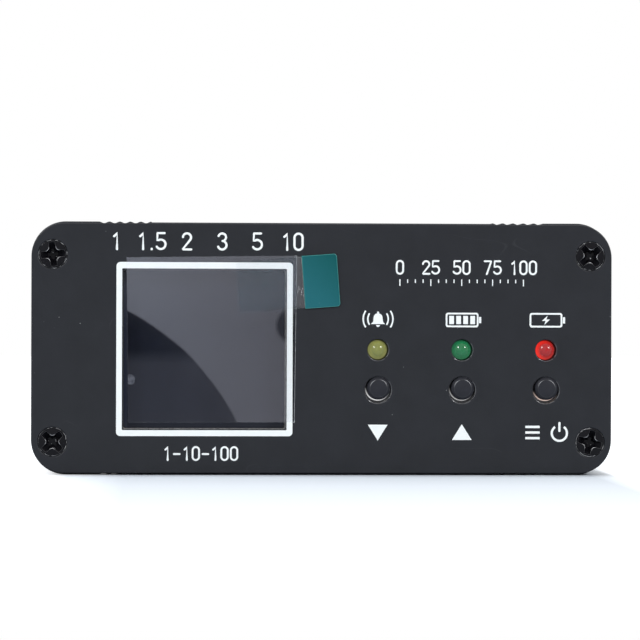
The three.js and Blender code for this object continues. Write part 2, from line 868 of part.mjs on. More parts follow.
// The moulded base with its legs and the snap dome in its cavity.
function switchBase() {
  const outline = roundedRectangle(switchSize, switchBackHeight, switchCornerRadius);
  const body = standUp(outline, switchBaseHeight, smallCornerSteps).translate(0, -switchBaseHeight, 0);
  const cavity = drill(switchCavityRadius, -switchBaseHeight - cutOverrun, -switchFloor, latheSteps);
  return join([cut(join([body, ...switchLegs()]), [cavity]), contactDome()]);
}

function switchCover() {
  const outline = roundedRectangle(switchSize, switchSize, switchCornerRadius);
  const holeRadius = plungerRadius + plungerHoleClearance;
  const sheet = standUp(outline, switchCoverThickness, smallCornerSteps).translate(0, coverFace, 0);
  const tabs = [-1, 1].map((side) => {
    const outer = side * switchSize / 2;
    const inner = outer - side * switchCoverThickness;
    const half = switchSize / 2 - switchCornerRadius;
    const low = [-half, coverFace, Math.min(outer, inner)];
    const high = [half, coverFace + switchCoverThickness + switchCoverTab, Math.max(outer, inner)];
    return block(low, high);
  });
  const hole = drill(holeRadius, coverFace - cutOverrun, coverFace + cutOverrun, latheSteps);
  return cut(join([sheet, ...tabs]), [hole]);
}

function contactDome() {
  const outer = switchCavityRadius - domeRimClearance;
  const profile = [[0, -domeTop]];
  for (let i = 1; i < domeSteps; i++) {
    const rise = domeHeight * Math.cos(Math.PI / 2 * i / domeSteps);
    profile.push([outer * i / domeSteps, -switchFloor - rise]);
  }
  profile.push([outer, -switchFloor + mouldedDepth], [0, -switchFloor + mouldedDepth]);
  return turn(profile, screwSteps);
}

function plunger() {
  const flangeFront = -switchBaseHeight + plungerFlangeGap;
  const flangeBack = flangeFront + plungerFlangeThickness;
  const nubEnd = -domeTop - nubAboveDome;
  return turn([
    [0, -plungerHeight], [plungerTopRadius, -plungerHeight],
    [plungerRadius, -plungerHeight + plungerEdgeDrop], [plungerRadius, flangeFront],
    [plungerFlangeRadius, flangeFront], [plungerFlangeRadius, flangeBack],
    [plungerNubRadius, flangeBack], [plungerNubRadius, nubEnd], [0, nubEnd],
  ], latheSteps);
}

// A leg leaves the base's side, turns down and goes through the board.
function switchLegs() {
  const side = switchSize / 2;
  const outer = side + switchLegReach + switchLegThickness;
  const inner = side + switchLegReach;
  const end = boardThickness + leadBehindBoard;
  const rise = -switchLegRise;
  const root = side - mouldedDepth;
  const leg = polygon([
    [root, rise - switchLegThickness], [outer, rise - switchLegThickness], [outer, end],
    [inner, end], [inner, rise], [root, rise],
  ]);
  const legs = [];
  for (const row of [-1, 1]) {
    const bottom = row * switchLegSpacing / 2 - switchLegWidth / 2;
    const right = extrude(leg, switchLegWidth).translate(0, 0, bottom);
    legs.push(right, right.clone().rotateY(Math.PI));
  }
  return legs;
}

function addSwitches() {
  const names = ['left', 'middle', 'right'];
  names.forEach((name, i) => {
    const x = columnX(i) + switchOffsetX;
    add(`switch_base_${name}`, switchBase(), blackPlastic, x, frontBoardFace, switchZ);
    add(`switch_cover_${name}`, switchCover(), tinned, x, frontBoardFace, switchZ);
    add(`button_${name}`, plunger(), blackPlastic, x, frontBoardFace, switchZ);
  });
}

// Front board with its holes for leads, legs and header pins

function headerPinX(index) {
  return displayX + (index - (headerPins - 1) / 2) * headerPinSpacing;
}

// The ribbon's connector on the back of the front board, in the board's own frame.
function ribbonConnector(boardMiddle) {
  const low = [displayX - connectorWidth / 2, boardThickness - mouldedDepth, connectorBottom - boardMiddle];
  const high = [displayX + connectorWidth / 2, boardThickness + connectorDepth, low[2] + connectorHeight];
  return block(low, high);
}

function addFrontBoard() {
  const height = frontBoardTop - frontBoardBottom;
  const holes = [];
  const through = (radius, x, z) => {
    const hole = drill(radius, -cutOverrun, boardThickness + cutOverrun, fineHoleSteps);
    holes.push(hole.translate(x, 0, z - frontBoardBottom - height / 2));
  };
  const leadHole = lampLeadWidth / Math.SQRT2 + leadHoleClearance;
  const legHole = switchLegWidth / 2 + leadHoleClearance;
  const legX = switchSize / 2 + switchLegReach + switchLegThickness / 2;
  const pinHole = headerPinWidth / Math.SQRT2 + leadHoleClearance;
  for (let i = 0; i < columnCount; i++) {
    for (const side of [-1, 1]) {
      through(leadHole, columnX(i) + side * lampLeadPitch / 2, lampZ);
      for (const row of [-1, 1]) {
        through(legHole, columnX(i) + switchOffsetX + side * legX, switchZ + row * switchLegSpacing / 2);
      }
    }
  }
  for (let i = 0; i < headerPins; i++) through(pinHole, headerPinX(i), headerPinZ);
  const outline = roundedRectangle(frontBoardWidth, height, frontBoardCornerRadius);
  const middle = frontBoardBottom + height / 2;
  const bare = cut(standUp(outline, boardThickness, smallCornerSteps), holes);
  add('front_board', join([bare, ribbonConnector(middle)]), board, 0, frontBoardFace, middle);
}

// Main board with the tab that carries the charging socket, and what is soldered on it

const headerLegY = headerFront + headerBlock + headerPinBehind;

function addMainBoard() {
  const outline = polygon([
    [-boardHalfWidth, boardFront], [boardHalfWidth, boardFront], [boardHalfWidth, boardRear],
    [boardTabHalfWidth, boardRear], [boardTabHalfWidth, boardTabRear],
    [-boardTabHalfWidth, boardTabRear], [-boardTabHalfWidth, boardRear], [-boardHalfWidth, boardRear],
  ]);
  const pinHole = headerPinWidth / Math.SQRT2 + leadHoleClearance;
  for (let i = 0; i < headerPins; i++) {
    outline.holes.push(circle(pinHole, fineHoleSteps, headerPinX(i), headerLegY));
  }
  const bare = extrude(outline, boardThickness).translate(0, 0, boardUnderside);
  add('main_board', join([bare, ...chips(), batterySocket(), senseLine()]), board);
}

function addHeader() {
  const half = headerPinWidth / 2;
  const frontTip = frontBoardFace - headerPinFront;
  const pin = polygon([
    [frontTip, headerPinZ - half], [headerLegY - half, headerPinZ - half], [headerLegY - half, legEnd],
    [headerLegY + half, legEnd], [headerLegY + half, headerPinZ + half], [frontTip, headerPinZ + half],
  ]);
  const low = [displayX - headerWidth / 2, headerFront, boardTop];
  const high = [displayX + headerWidth / 2, headerFront + headerBlock, boardTop + headerBlock];
  const parts = [block(low, high)];
  for (let i = 0; i < headerPins; i++) {
    parts.push(layAcross(pin, headerPinWidth).translate(headerPinX(i), 0, 0));
  }
  add('board_header', join(parts), blackPlastic);
}

// Charging socket

function addPort() {
  const outline = roundedRectangle(portWidth, portHeight, portCornerRadius);
  const innerWidth = portWidth - 2 * portWall;
  const innerHeight = portHeight - 2 * portWall;
  const innerCorner = portCornerRadius - portWall;
  outline.holes.push(roundedRectangle(innerWidth, innerHeight, innerCorner));
  const portStart = rearFace - portLength;
  add('port_shell', standUp(outline, portLength, portCornerSteps), nickel, 0, portStart, portZ);
  const blockWidth = innerWidth - 2 * portBlockClearance;
  const blockHeight = innerHeight - 2 * portBlockClearance;
  const baseOutline = roundedRectangle(blockWidth, blockHeight, innerCorner - portBlockClearance);
  const base = standUp(baseOutline, portBlockLength, portCornerSteps);
  const tongueReach = portLength - portTongueSetback;
  const tongue = block(
    [-portTongueWidth / 2, portWall, -portTongueThickness / 2],
    [portTongueWidth / 2, tongueReach, portTongueThickness / 2]);
  add('port_insert', join([base, tongue]), blackPlastic, 0, portStart, portZ);
}

// Radio frequency sockets, drawn with the rear panel's outer face at depth zero

const rimDepth = rimFace - rearFace;

function socketBody() {
  const flangeOutline = roundedRectangle(flangeSize, flangeSize, flangeCornerRadius);
  const flange = standUp(flangeOutline, flangeThickness, smallCornerSteps);
  const floor = recessFloor - rearFace;
  const end = spigotEnd - rearFace;
  const root = flangeThickness / 2;
  const bore = insulatorRadius + insulatorClearance;
  const barrel = turn([
    [bore, end], [spigotRadius, end], [spigotRadius, root], [barrelRadius, root],
    [barrelRadius, rimDepth - barrelChamfer], [barrelRadius - barrelChamfer, rimDepth],
    [recessRadius, rimDepth], [recessRadius, floor], [bore, floor], [bore, end],
  ], ringSteps);
  const holes = flangeHolePlaces().map(([x, z]) =>
    moved(drill(socketHoleRadius, -cutOverrun, flangeThickness + cutOverrun, fineHoleSteps), x, 0, z));
  const middle = drill(barrelRadius - barrelChamfer, -cutOverrun, flangeThickness + cutOverrun, ringSteps);
  const notches = [0, Math.PI / 2].map((angle) => {
    const reach = barrelRadius + cutOverrun;
    const low = [-reach, rimDepth - rimNotchDepth, -rimNotchWidth / 2];
    const high = [reach, rimDepth + cutOverrun, rimNotchWidth / 2];
    return block(low, high).rotateY(angle);
  });
  return cut(join([cut(flange, [middle, ...holes]), barrel]), notches);
}

function socketInsulator() {
  const inner = contactRadius + contactClearance;
  const head = recessFloor - rearFace + insulatorClearance;
  const headRadius = recessRadius - insulatorClearance;
  const end = insulatorEnd - rearFace;
  return turn([
    [inner, end], [insulatorRadius, end], [insulatorRadius, head], [headRadius, head],
    [headRadius, head + insulatorHeadThickness], [inner, head + insulatorHeadThickness], [inner, end],
  ], latheSteps);
}

function socketContact() {
  const tip = contactTip - rearFace;
  const end = contactEnd - rearFace;
  const body = turn([
    [0, end + solderCupDepth], [solderCupRadius, end + solderCupDepth], [solderCupRadius, end],
    [contactRadius, end], [contactRadius, tip], [contactBoreRadius, tip],
    [contactBoreRadius, tip - contactBoreDepth], [0, tip - contactBoreDepth],
  ], screwSteps);
  const slots = [Math.PI / 4, 3 * Math.PI / 4].map((angle) => {
    const reach = contactRadius + cutOverrun;
    const low = [-reach, tip - contactSlotDepth, -contactSlotWidth / 2];
    const high = [reach, tip + cutOverrun, contactSlotWidth / 2];
    return block(low, high).rotateY(angle);
  });
  return cut(body, slots);
}

// A round-headed screw with its head towards +Y and the head's seat at depth zero.
function socketScrew(degrees) {
  const head = socketScrewHeadHeight;
  const screw = turn([
    [0, -socketScrewLength], [socketScrewRadius, -socketScrewLength], [socketScrewRadius, 0],
    [socketScrewHeadRadius, 0], [socketScrewHeadRadius, head - socketScrewDome],
    [socketScrewHeadRadius - socketScrewDome, head], [0, head],
  ], screwSteps);
  const recess = crossRecess(recessArm, recessWidth, recessDepth, degrees).rotateZ(Math.PI);
  return cut(screw, [recess.translate(0, head, 0)]);
}

// The nut is tight on its screw, against the inner face of the rear panel.
function socketNut() {
  const seat = -flangeThickness - panelThickness;
  const hexagon = circle(nutAcrossFlats / Math.sqrt(3), 6);
  return standUp(hexagon, nutThickness).translate(0, seat - nutThickness, 0);
}

function addSockets() {
  let turned = firstScrewTurn;
  for (const [name, x] of socketPlaces()) {
    add(`${name}_socket_body`, socketBody(), nickel, x, rearFace, socketZ);
    add(`${name}_socket_insulator`, socketInsulator(), whitePlastic, x, rearFace, socketZ);
    add(`${name}_socket_contact`, socketContact(), gold, x, rearFace, socketZ);
    flangeHolePlaces().forEach(([holeX, holeZ], i) => {
      const fastener = join([socketScrew(turned), socketNut()]);
      const seat = rearFace + flangeThickness;
      add(`${name}_screw_${i + 1}`, fastener, nickel, x + holeX, seat, socketZ + holeZ);
      turned += screwTurnStep;
    });
  }
}

// Directional coupler

function ringCore() {
  const half = coreWidth / 2;
  const c = coreChamfer;
  const ring = turn([
    [coreInnerRadius + c, -half], [coreOuterRadius - c, -half], [coreOuterRadius, -half + c],
    [coreOuterRadius, half - c], [coreOuterRadius - c, half], [coreInnerRadius + c, half],
    [coreInnerRadius, half - c], [coreInnerRadius, -half + c], [coreInnerRadius + c, -half],
  ], coreSteps);
  return ring.rotateZ(-Math.PI / 2);
}

// Signed power that squares off the path of a turn round the core.
function squared(value) {
  return Math.sign(value) * Math.sqrt(Math.abs(value));
}

// The wire climbs from the board, winds round the core's section and goes down to the board again.
function winding() {
  const midRadius = (coreOuterRadius + coreInnerRadius) / 2;
  const offset = wireRadius + wireClearance;
  const reachRadial = (coreOuterRadius - coreInnerRadius) / 2 + offset;
  const reachAxial = coreWidth / 2 + offset;
  const points = [];
  const steps = windingTurns * windingStepsPerTurn;
  for (let i = 0; i <= steps; i++) {
    const share = i / steps - 0.5;
    const phi = toRadians(windingSweep) * share;
    const theta = 2 * Math.PI * windingTurns * (i / steps);
    const radius = midRadius + reachRadial * squared(Math.cos(theta));
    const x = reachAxial * squared(Math.sin(theta));
    points.push(new THREE.Vector3(x, radius * Math.sin(phi), radius * Math.cos(phi)));
  }
  const foot = -coreOuterRadius - coreSeat + solderGap;
  const first = points[0];
  const last = points[points.length - 1];
  points.unshift(new THREE.Vector3(first.x, first.y, foot));
  points.push(new THREE.Vector3(last.x, last.y, foot));
  const curve = new THREE.CatmullRomCurve3(points);
  return tube(curve, wireRadius, wireSides, points.length - 1);
}

function throughLine() {
  const end = contactEnd - lineGap;
  const bend = lineBend;
  const points = [
    [-socketX, end], [-socketX, lineY + bend], [-socketX + bend, lineY], [-coreWidth, lineY],
    [coreWidth, lineY], [socketX - bend, lineY], [socketX, lineY + bend], [socketX, end],
  ];
  const curve = new THREE.CatmullRomCurve3(points.map(([x, y]) => new THREE.Vector3(x, y, socketZ)));
  return tube(curve, lineRadius, lineSides, lineSteps);
}

function senseLine() {
  const foot = boardTop - mouldedDepth;
  const reach = senseLineReach;
  const points = [
    [-reach, foot], [-reach, coreZ - lineBend], [-reach + lineBend / 2, coreZ],
    [reach - lineBend / 2, coreZ], [reach, coreZ - lineBend], [reach, foot],
  ];
  const place = ([x, z]) => new THREE.Vector3(senseCoreX + x, senseCoreY, z);
  return tube(new THREE.CatmullRomCurve3(points.map(place)), wireRadius, wireSides, lineSteps);
}

function addCoupler() {
  add('line_core', ringCore(), ferrite, 0, lineY, coreZ);
  add('line_winding', winding(), copper, 0, lineY, coreZ);
  add('through_line', throughLine(), copper);
  add('sense_core', ringCore(), ferrite, senseCoreX, senseCoreY, coreZ);
  add('sense_winding', winding(), copper, senseCoreX, senseCoreY, coreZ);
}

// Rechargeable cell, its plug and leads

function addCell() {
  const outline = roundedRectangle(cellWidth - 2 * cellEdge, cellLength - 2 * cellEdge, cellEdge);
  const body = new THREE.ExtrudeGeometry(outline, {
    depth: cellThickness - 2 * cellEdge, curveSegments: smallCornerSteps,
    bevelThickness: cellEdge, bevelSize: cellEdge, bevelSegments: 2,
  });
  const cellY = cellFront + cellLength / 2;
  add('battery_cell', body, cellWrap, cellX, cellY, cellBottom + cellEdge);
  const padX = cellWidth / 2 - padInset;
  const padY = cellLength / 2 - padInset;
  add('battery_pad', block([-padX, -padY, 0], [padX, padY, padThickness]), foam, cellX, cellY, boardTop);
}

// The open-topped socket on the main board that the cell's plug sits in.
function batterySocket() {
  const outerHalf = plugWidth / 2 + plugFit + socketWall;
  const top = boardTop + socketWall + plugFit + plugHeight;
  const low = [plugX, plugY - outerHalf, boardTop - mouldedDepth];
  const body = block(low, [plugX + plugLength, plugY + outerHalf, top]);
  const innerHalf = plugWidth / 2 + plugFit;
  const innerLow = [plugX - cutOverrun, plugY - innerHalf, boardTop + socketWall];
  const innerHigh = [plugX + plugLength - socketWall, plugY + innerHalf, top + cutOverrun];
  return cut(body, [block(innerLow, innerHigh)]);
}

// The plug with its two leads, which run to the end of the cell.
function addBatteryLead() {
  const seatZ = boardTop + socketWall + plugFit;
  const half = plugWidth / 2;
  const plugFront = plugX - socketWall;
  const plugBack = plugX + plugLength - socketWall - plugFit;
  const plug = block([plugFront, plugY - half, seatZ], [plugBack, plugY + half, seatZ + plugHeight]);
  const root = plugFront + mouldedDepth;
  const plugMiddle = seatZ + plugHeight / 2;
  const cellMiddle = cellBottom + cellThickness / 2;
  const leads = [-1, 1].map((side) => {
    const offset = side * leadSpacing / 2;
    const points = [
      [cellX - offset, cellFront - leadGap, cellMiddle],
      [cellX - offset, cellFront - leadSpacing, cellMiddle],
      [cellX + leadSpacing - offset, plugY + offset, (cellMiddle + plugMiddle) / 2],
      [(cellX + plugFront) / 2, plugY + offset, plugMiddle], [root, plugY + offset, plugMiddle],
    ];
    const curve = new THREE.CatmullRomCurve3(points.map((point) => new THREE.Vector3(...point)));
    return tube(curve, leadRadius, lineSides, lineSteps);
  });
  add('battery_lead', join([plug, ...leads]), leadCover);
}

// Chips and small parts on the main board

function chips() {
  const low = chipSize / 2;
  const outline = polygon([
    [-low, -low], [low, -low], [low, low - chipChamfer], [low - chipChamfer, low], [-low, low],
  ]);
  const chipY = boardFront + chipFromFront;
  const seat = boardTop - mouldedDepth;
  const parts = [extrude(outline, chipThickness + mouldedDepth).translate(chipX, chipY, seat)];
  for (let i = 0; i < smallPartCount; i++) {
    const x = chipX + chipSize + (i - (smallPartCount - 1) / 2) * smallPartPitch;
    const y = chipY + chipSize;
    const corner = [x - smallPartWidth / 2, y, seat];
    parts.push(block(corner, [x + smallPartWidth / 2, y + smallPartLength, boardTop + smallPartHeight]));
  }
  return parts;
}

addCase();
addFrontPanel();
addRearPanel();
addDisplay();
addRibbon();
addFilm();
addLamps();
addSwitches();
addFrontBoard();
addMainBoard();
addHeader();
addPort();
addSockets();
addCoupler();
addCell();
addBatteryLead();

export default meter;
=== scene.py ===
# A standing wave and power meter in a split extruded case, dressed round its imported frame.
# Everything is in metres in the frame's own axes. Sizes in the dictionaries are millimetres.

import math

import bmesh
import bpy
from mathutils import Matrix, Vector


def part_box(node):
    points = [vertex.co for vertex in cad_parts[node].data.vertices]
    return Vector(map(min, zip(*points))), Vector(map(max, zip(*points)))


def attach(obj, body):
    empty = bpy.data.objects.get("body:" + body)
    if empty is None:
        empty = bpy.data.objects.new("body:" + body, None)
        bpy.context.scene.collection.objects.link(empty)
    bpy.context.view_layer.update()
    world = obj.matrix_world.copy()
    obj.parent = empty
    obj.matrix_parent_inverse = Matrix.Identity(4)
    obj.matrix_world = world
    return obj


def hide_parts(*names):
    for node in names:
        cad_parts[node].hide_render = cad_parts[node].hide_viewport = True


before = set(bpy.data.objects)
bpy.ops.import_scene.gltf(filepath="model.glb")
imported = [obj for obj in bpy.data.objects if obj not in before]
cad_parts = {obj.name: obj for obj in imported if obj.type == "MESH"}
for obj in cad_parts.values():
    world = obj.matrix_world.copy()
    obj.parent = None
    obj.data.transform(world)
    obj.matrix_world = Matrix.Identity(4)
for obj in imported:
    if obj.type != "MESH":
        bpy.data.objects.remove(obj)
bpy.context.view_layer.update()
mm = 0.001
print("frame loaded")


# Shader wiring

class Wire:
    # one output of a node tree: sums written on it add Math nodes
    def __init__(self, wiring, socket):
        self.wiring = wiring
        self.socket = socket

    def maths(self, operation, first, second=0.0):
        return self.wiring.node("Math", {"operation": operation}, {0: first, 1: second})

    def __add__(self, other):
        return self.maths("ADD", self, other)

    def __radd__(self, other):
        return self.maths("ADD", other, self)

    def __sub__(self, other):
        return self.maths("SUBTRACT", self, other)

    def __rsub__(self, other):
        return self.maths("SUBTRACT", other, self)

    def __mul__(self, other):
        return self.maths("MULTIPLY", self, other)

    def __rmul__(self, other):
        return self.maths("MULTIPLY", other, self)

    def __pow__(self, other):
        return self.maths("POWER", self, other)

    def size(self):
        return self.maths("ABSOLUTE", self)

    def wave(self):
        return self.maths("SINE", self)

    def atLeast(self, least):
        return self.maths("MAXIMUM", self, least)

    # 0 at low, 1 at high, straight between and held outside
    def between(self, low, high):
        sockets = {"Value": self, "From Min": low, "From Max": high}
        return self.wiring.node("MapRange", {"clamp": True}, sockets)


class Wiring:
    # a node tree whose new nodes all come from node()
    def __init__(self, tree):
        self.tree = tree

    def node(self, kind, settings=None, sockets=None, output=0):
        made = self.tree.nodes.new("ShaderNode" + kind)
        for key, value in (settings or {}).items():
            setattr(made, key, value)
        for key, value in (sockets or {}).items():
            self.feed(made.inputs[key], value)
        return Wire(self, made.outputs[output])

    def feed(self, socket, value):
        if isinstance(value, Wire):
            self.tree.links.new(value.socket, socket)
        else:
            socket.default_value = value

    def mixed(self, share, low, high):
        return self.node("Mix", {"data_type": "RGBA"}, {0: share, 6: low, 7: high}, output=2)


class Finish(Wiring):
    # a material, with its place over the object in millimetres
    def __init__(self, name, constants=None):
        self.material = bpy.data.materials.new(name)
        self.material.use_nodes = True
        super().__init__(self.material.node_tree)
        self.principled = self.tree.nodes["Principled BSDF"]
        place = self.node("TexCoord", output="Object")
        self.place = self.node("VectorMath", {"operation": "SCALE"}, {0: place, "Scale": 1 / mm})
        self.surface(constants or {})

    def surface(self, values):
        for key, value in values.items():
            self.feed(self.principled.inputs[key], value)
        return self

    def stretched(self, factors):
        return self.node("VectorMath", {"operation": "MULTIPLY"}, {0: self.place, 1: factors})

    def axis(self, name):
        return self.node("SeparateXYZ", sockets={0: self.place}, output=name)

    def distance(self, x, y, z):
        sockets = {0: self.place, 1: (x, y, z)}
        return self.node("VectorMath", {"operation": "DISTANCE"}, sockets, output="Value")

    # grain of about that many millimetres, 0 to 1
    def noise(self, grain, detail=2.0, roughness=0.5, vector=None):
        sockets = {"Vector": vector or self.place, "Scale": 1 / grain}
        sockets.update({"Detail": detail, "Roughness": roughness})
        return self.node("TexNoise", sockets=sockets)

    # 0 in the middle of each cell of that many millimetres, more towards its border
    def cells(self, cell):
        return self.node("TexVoronoi", sockets={"Vector": self.place, "Scale": 1 / cell})

    # small round spots, one to a cell
    def specks(self, cell, radius):
        return 1 - self.cells(cell).between(radius * 0.5, radius)

    # thin wandering lines where a noise crosses its middle, kept where a second noise is above that share
    def hairlines(self, grain, width, stretch, share):
        line = self.noise(grain, 1.0, 0.5, self.stretched(stretch)) - 0.5
        kept = self.noise(grain * 0.7, 1.0).between(share, share + 0.06)
        return (1 - line.size().between(width * 0.4, width)) * kept

    def bump(self, height, depth):
        return self.node("Bump", sockets={"Height": height, "Distance": depth * mm, "Strength": 1.0})

    # a grain that is only felt in the light, not seen in the colour
    def relief(self, grain, depth, detail=2.0):
        return self.bump(self.noise(grain, detail), depth)


black = (0, 0, 0, 1)
white = (1, 1, 1, 1)


# An sRGB colour, 0 to 255, as the linear one that a shader takes.
def srgb(red, green, blue):
    shares = [level / 255 for level in (red, green, blue)]
    return (*[s / 12.92 if s < 0.0404 else ((s + 0.055) / 1.055) ** 2.4 for s in shares], 1.0)


def scaleColour(colour, factor):
    return (*[c * factor for c in colour[:3]], 1.0)


# Outlines, as lists of (x, z) in millimetres

def arc(middleX, middleZ, radius, start, end, steps=12):
    turns = [math.radians(start + (end - start) * i / steps) for i in range(steps + 1)]
    return [(middleX + radius * math.cos(t), middleZ + radius * math.sin(t)) for t in turns]


def disc(middleX, middleZ, radius, steps=64):
    return arc(middleX, middleZ, radius, 0, 360, steps)[:-1]


def roundedBox(middleX, middleZ, width, height, radius, steps=10):
    loop = []
    for sideX, sideZ, start in [(1, 1, 0), (-1, 1, 90), (-1, -1, 180), (1, -1, 270)]:
        cornerX = middleX + sideX * (width / 2 - radius)
        cornerZ = middleZ + sideZ * (height / 2 - radius)
        loop += arc(cornerX, cornerZ, radius, start, start + 90, steps)
    return loop


def turned(loop, degrees):
    c, s = math.cos(math.radians(degrees)), math.sin(math.radians(degrees))
    return [(c * x - s * z, s * x + c * z) for x, z in loop]


def shifted(loop, byX, byZ):
    return [(x + byX, z + byZ) for x, z in loop]


def shrunk(loop, share):
    return [(x * share, z * share) for x, z in loop]


# Evenly spaced values from one end to the other.
def spread(ends, count):
    return [ends[0] + (ends[1] - ends[0]) * i / (count - 1) for i in range(count)]


# Meshes

def asMesh(form, name="form"):
    mesh = bpy.data.meshes.new(name)
    form.to_mesh(mesh)
    form.free()
    return mesh


# Smooth faces, with sharp edges where they meet at more than that angle.
def smoothed(mesh, sharpAngle=18):
    mesh.shade_smooth()
    mesh.set_sharp_from_angle(angle=math.radians(sharpAngle))
    return mesh


def tidyMesh(form, sharpAngle=30):
    bmesh.ops.remove_doubles(form, verts=form.verts, dist=1e-7)
    bmesh.ops.recalc_face_normals(form, faces=form.faces)
    return smoothed(asMesh(form), sharpAngle)


# One sheet with no thickness through its corners, for what stands round the object.
def flatSheet(name, corners):
    form = bmesh.new()
    form.faces.new([form.verts.new([c * mm for c in corner]) for corner in corners])
    return asMesh(form, name)


# A curve's mesh. A point is (x, y, z) in millimetres.
def curveMesh(curve, loops, closed):
    for loop in loops:
        spline = curve.splines.new("POLY")
        spline.points.add(len(loop) - 1)
        for point, (x, y, z) in zip(spline.points, loop):
            point.co = (x * mm, y * mm, z * mm, 1)
        spline.use_cyclic_u = closed
    holder = bpy.data.objects.new("curve", curve)
    made = bpy.data.meshes.new_from_object(holder)
    bpy.data.objects.remove(holder)
    return made


def moveBy(x, y, z):
    return Matrix.Translation((x * mm, y * mm, z * mm))


def turnBy(degrees, axis="Y"):
    return Matrix.Rotation(math.radians(degrees), 4, axis)


# A flat plate standing in X and Z: front face at Y 0, running back, with holes and softly broken edges.
def plate(outer, holes, thickness, edge=0.1):
    curve = bpy.data.curves.new("plate", "CURVE")
    curve.dimensions = "2D"
    curve.fill_mode = "BOTH"
    curve.extrude = (thickness / 2 - edge) * mm
    curve.bevel_depth = edge * mm
    curve.bevel_resolution = 1
    curve.offset = -edge * mm
    made = curveMesh(curve, [[(x, z, 0) for x, z in loop] for loop in [outer, *holes]], True)
    made.transform(moveBy(0, thickness / 2, 0) @ turnBy(90, "X"))
    form = bmesh.new()
    form.from_mesh(made)
    return tidyMesh(form, 18)


# A profile of (radius, depth) turned round the Y axis. It starts and ends on the axis, or closes on itself,
# and a radius may be a function of the angle, as on a thread.
def lathe(profile, steps=64, closed=False, sharpAngle=30):
    form = bmesh.new()
    rings = []
    for radius, depth in profile:
        if radius == 0:
            rings.append([form.verts.new((0, depth * mm, 0))])
        else:
            turns = [2 * math.pi * i / steps for i in range(steps)]
            reaches = [(radius(t) if callable(radius) else radius) * mm for t in turns]
            rings.append([form.verts.new((r * math.cos(t), depth * mm, r * math.sin(t)))
                          for r, t in zip(reaches, turns)])
    pairs = list(zip(rings, rings[1:])) + ([(rings[-1], rings[0])] if closed else [])
    for near, far in pairs:
        joinRings(form, near, far, steps)
    return tidyMesh(form, sharpAngle)


def joinRings(form, near, far, steps):
    for i in range(steps):
        j = (i + 1) % steps
        corners = [near[i % len(near)], near[j % len(near)], far[j % len(far)], far[i % len(far)]]
        distinct = list(dict.fromkeys(corners))
        if len(distinct) > 2:
            form.faces.new(distinct)


# A closed block through outlines of as many points each, given as (depth, outline).
def loft(rings):
    form = bmesh.new()
    made = [[form.verts.new((x * mm, depth * mm, z * mm)) for x, z in loop] for depth, loop in rings]
    for near, far in zip(made, made[1:]):
        joinRings(form, near, far, len(near))
    form.faces.new(made[0])
    form.faces.new(made[-1])
    return tidyMesh(form, 30)


# A copy of a mesh, turned round the depth axis and moved.
def placed(mesh, x=0.0, y=0.0, z=0.0, turn=0.0):
    copy = mesh.copy()
    copy.transform(moveBy(x, y, z) @ turnBy(turn))
    return copy


def painted(mesh, index):
    for face in mesh.polygons:
        face.material_index = index
    return mesh


# Several meshes as one, each with the finish number that its faces hold.
def united(meshes):
    form = bmesh.new()
    for mesh in meshes:
        form.from_mesh(mesh)
    return asMesh(form)


def asObject(name, mesh):
    made = bpy.data.objects.new(name, mesh)
    bpy.context.scene.collection.objects.link(made)
    return made


# The mesh with cutters taken away. A cutter's faces keep their finish number, up to 1.
def carved(mesh, cutters, sharpAngle=30):
    for form in (mesh, *cutters):
        while len(form.materials) < 2:
            form.materials.append(None)
    body = asObject("body", mesh)
    tools = [asObject("tool", cutter) for cutter in cutters]
    for tool in tools:
        modifier = body.modifiers.new("cut", "BOOLEAN")
        modifier.operation = "DIFFERENCE"
        modifier.solver = "EXACT"
        modifier.object = tool
    bpy.context.view_layer.update()
    graph = bpy.context.evaluated_depsgraph_get()
    made = bpy.data.meshes.new_from_object(body.evaluated_get(graph))
    for spare in [body, *tools]:
        bpy.data.objects.remove(spare)
    return smoothed(made, sharpAngle)


# A finished piece on its body, standing for its CAD nodes.
def piece(name, mesh, finishes, nodes=(), slot=None, body="root"):
    mesh.name = name
    while len(mesh.materials) < len(finishes):
        mesh.materials.append(None)
    while len(mesh.materials) > len(finishes):
        mesh.materials.pop()
    for i, finish in enumerate(finishes):
        mesh.materials[i] = finish.material
    made = asObject(name, mesh)
    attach(made, body)
    if nodes:
        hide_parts(*nodes)
    return made


# A CAD node that keeps its shape gets its finish.
def dress(names, finish):
    for name in names:
        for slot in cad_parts[name].material_slots:
            slot.material = finish.material


# Camera

cameraView = {
    "distance": 520.0,            # from the front panel's face, along the view
    "sideways": -0.404,           # where the view's middle meets the face
    "height": 23.48,
    "yaw": 3.04,
    "roll": 0.182,
    "focalPixels": 3436.17,
    "imageWidth": 640.0,
    "sensorWidth": 36.0,
}
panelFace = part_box("front_panel")[0].y / mm
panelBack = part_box("front_panel")[1].y / mm
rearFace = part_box("rear_panel")[1].y / mm


def addCamera():
    v = cameraView
    yaw = math.radians(v["yaw"])
    data = bpy.data.cameras.new("camera")
    data.sensor_width = v["sensorWidth"]
    data.lens = v["sensorWidth"] * v["focalPixels"] / v["imageWidth"]
    data.clip_start = 0.01
    camera = bpy.data.objects.new("camera", data)
    back = v["distance"] * mm
    camera.location = (v["sideways"] * mm - back * math.sin(yaw), panelFace * mm - back * math.cos(yaw),
                       v["height"] * mm)
    camera.rotation_euler = (math.pi / 2, -math.radians(v["roll"]), -yaw)
    bpy.context.scene.collection.objects.link(camera)
    bpy.context.scene.camera = camera


addCamera()
print("camera set")


# Metal and paint finishes

